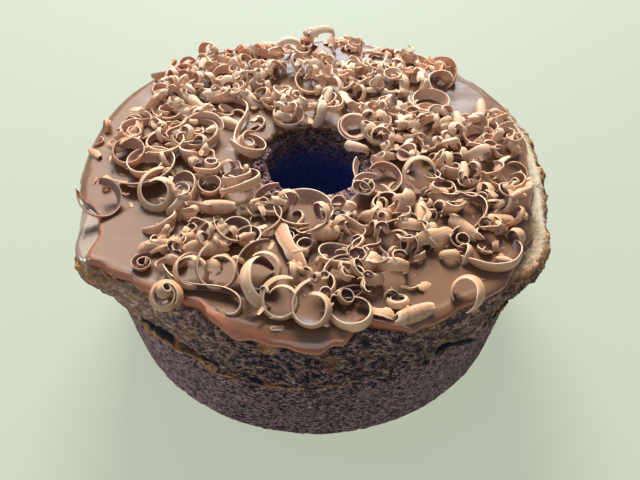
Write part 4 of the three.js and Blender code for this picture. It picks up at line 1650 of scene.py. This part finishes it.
    def join(self, name: str, strips: list[Strip]) -> bpy.types.Object:
        """Joins finished strips into one piece.

        Args:
            name: The piece's name.
            strips: The strips.

        Returns:
            The finished piece.
        """
        starts = np.cumsum([0] + [len(s.places) for s in strips])
        places = np.concatenate([s.places for s in strips])
        faces = np.concatenate([s.blank.faces + start for s, start in zip(strips, starts)])
        mesh = bpy.data.meshes.new(name)
        mesh.from_pydata((places * MM).tolist(), [], faces.tolist())
        along = np.concatenate([s.along for s in strips])
        layer = mesh.uv_layers.new(name="along")
        corner = np.empty(len(mesh.loops), np.int32)
        mesh.loops.foreach_get("vertex_index", corner)
        layer.data.foreach_set("uv", along[corner].astype(np.float32).ravel())
        set_values(mesh, **self.marks(places, strips))
        mesh.shade_smooth()
        mesh.set_sharp_from_angle(angle=math.radians(50))
        return add_piece(mesh, "icing", CurlFinish().material())

    def flakes(self) -> Iterator[Curl]:
        """Throws the small broken flakes and bits.

        Returns:
            Short shallow strips, the larger flakes first.
        """
        draw = Draw(self.small_seed + 1)
        count = 0
        while count < self.flake_count + self.bit_count:
            x, y = draw.between(-103, 103), draw.between(-103, 103)
            size = draw.between(*(self.flake_size if count < self.flake_count else self.bit_size))
            width = size * draw.between(0.2, 0.45)
            heading, lean, tone = draw.between(0, 360), draw.between(-25, 40), draw.between(0, 1)
            if self.on_icing(x, y, 1.5, 0.75):
                count += 1
                yield Curl(CurlKind.STRAP, x, y, size, width, heading, lean, tone=tone)

    def build(self) -> list[bpy.types.Object]:
        """Lays all the curls and joins them by kind.

        Returns:
            The finished pieces.
        """
        ground = HeightMap(self.form)
        strips: dict[str, list[Strip]] = {}
        straps: list[Curl] = []
        blank = Blank.cut(44, 6)
        for curl in self.large():
            if curl.kind is CurlKind.STRAP:
                straps.append(curl)
                continue
            strip = self.bend(curl, blank)
            level = self.form.icing_height(np.array([curl.x]), np.array([curl.y]))[0]
            strip.places[:, 2] += level - self.sink - strip.places[:, 2].min()
            ground.add(strip.places)
            strips.setdefault(curl.kind.value + "_curls", []).append(strip)
        layers = (
            ("", Blank.cut(24, 4), self.listed(), 0.8),
            ("", Blank.cut(9, 2), self.small(), 0.6),
            ("", blank, straps, 1.5),
            ("flakes", Blank.cut(5, 1), self.flakes(), 0.3),
        )
        for name, cut, curls, sink in layers:
            for curl in curls:
                strip = self.bend(curl, cut)
                strip.places = ground.drop(strip.places, sink)
                if strip.places[:, 2].max() < self.highest:
                    ground.add(strip.places)
                    strips.setdefault(name or curl.kind.value + "_curls", []).append(strip)
        return [self.join(name, found) for name, found in strips.items()]


# Studio


class LightPart(Enum):
    """What a light adds to surfaces: their own colour, their sheen or both."""

    DIFFUSE = "diffuse"
    GLOSSY = "glossy"
    WHOLE = "whole"


@dataclass(frozen=True)
class Lamp:
    """A square light that faces the cake, with its place and side in metres."""

    name: str
    place: Triple
    side: float
    watts: float
    colour: Triple
    part: LightPart = LightPart.WHOLE

    def hang(self) -> None:
        """Adds the light to the scene."""
        data = bpy.data.lights.new(self.name, "AREA")
        data.size, data.energy, data.color = self.side, self.watts, self.colour
        light = bpy.data.objects.new(self.name, data)
        light.location = self.place
        light.visible_diffuse = self.part is not LightPart.GLOSSY
        light.visible_glossy = self.part is not LightPart.DIFFUSE
        towards = Vector((0, 0, 0.05)) - Vector(self.place)
        light.rotation_euler = towards.to_track_quat("-Z", "Y").to_euler()
        bpy.context.collection.objects.link(light)


LAMPS = (
    Lamp("soft_top", (-0.08, 1.45, 1.35), 0.8, 104, (1.0, 0.98, 0.94), LightPart.DIFFUSE),
    Lamp("sheen", (-0.7, 1.2, 1.3), 1.0, 9, (1.0, 0.97, 0.88), LightPart.GLOSSY),
    Lamp("left_sheen", (-1.6, 0.4, 0.9), 0.5, 16, (0.66, 0.86, 1.0), LightPart.GLOSSY),
    Lamp("front_sheen", (0.2, -1.2, 1.3), 1.0, 8, (1.0, 0.97, 0.94), LightPart.GLOSSY),
    Lamp("low_window", (0.0, 1.1, 0.5), 0.6, 8, (0.72, 0.88, 1.0)),
    Lamp("soft_front", (-1.4, -1.2, 0.8), 1.6, 7, (0.82, 0.9, 1.0)),
)


@dataclass(frozen=True)
class Studio:
    """Floor, light and camera."""

    lens: float = 44.72
    sensor: float = 36
    distance: float = 394
    elevation: float = 45.75
    aim: float = 29.4
    shift: float = 0.0084
    floor: Colour = (84, 88, 77)
    floor_half: float = 3
    glow: Colour = (219, 226, 202)
    glow_strength: float = 0.625
    sky: Triple = (0.62, 0.8, 1.0)
    sky_strength: float = 0.38

    def build(self) -> None:
        """Sets up the floor, the lights and the camera."""
        self.add_floor()
        self.add_lights()
        self.add_camera()
        bpy.context.scene.view_settings.view_transform = "Standard"

    def add_floor(self) -> None:
        """Lays a plain pale floor."""
        bm = bmesh.new()
        bmesh.ops.create_grid(bm, x_segments=1, y_segments=1, size=self.floor_half)
        mesh = bpy.data.meshes.new("floor")
        bm.to_mesh(mesh)
        bm.free()
        floor = bpy.data.objects.new("floor", mesh)
        bpy.context.collection.objects.link(floor)
        material, nodes, shader = new_material("pale_floor")
        nodes.feed(shader, Base_Color=linear(*self.floor), Roughness=0.7)
        nodes.feed(shader, Emission_Color=linear(*self.glow), Emission_Strength=self.glow_strength)
        mesh.materials.append(material)

    def add_lights(self) -> None:
        """Adds the lamps and a pale sky."""
        for lamp in LAMPS:
            lamp.hang()
        world = bpy.data.worlds.new("pale_sky")
        world.use_nodes = True
        sky = world.node_tree.nodes["Background"]
        sky.inputs["Color"].default_value = (*self.sky, 1)
        sky.inputs["Strength"].default_value = self.sky_strength
        bpy.context.scene.world = world

    def add_camera(self) -> None:
        """Sets the camera at the viewing angle."""
        data = bpy.data.cameras.new("camera")
        data.sensor_fit = "HORIZONTAL"
        data.sensor_width = self.sensor
        data.lens = self.lens
        data.shift_x = self.shift
        data.clip_start = 0.01
        camera = bpy.data.objects.new("camera", data)
        up = math.radians(self.elevation)
        back, high = self.distance * math.cos(up), self.distance * math.sin(up) + self.aim
        camera.location = (0, -back * MM, high * MM)
        camera.rotation_euler = (math.pi / 2 - up, 0, 0)
        bpy.context.collection.objects.link(camera)
        bpy.context.scene.camera = camera


def main() -> None:
    """Builds the cake and the studio."""
    logging.basicConfig(level=logging.INFO, format="%(name)s %(message)s")
    Studio().build()
    Sponge().build()
    Icing().build()
    CurlHeap().build()


if __name__ == "__main__":
    main()
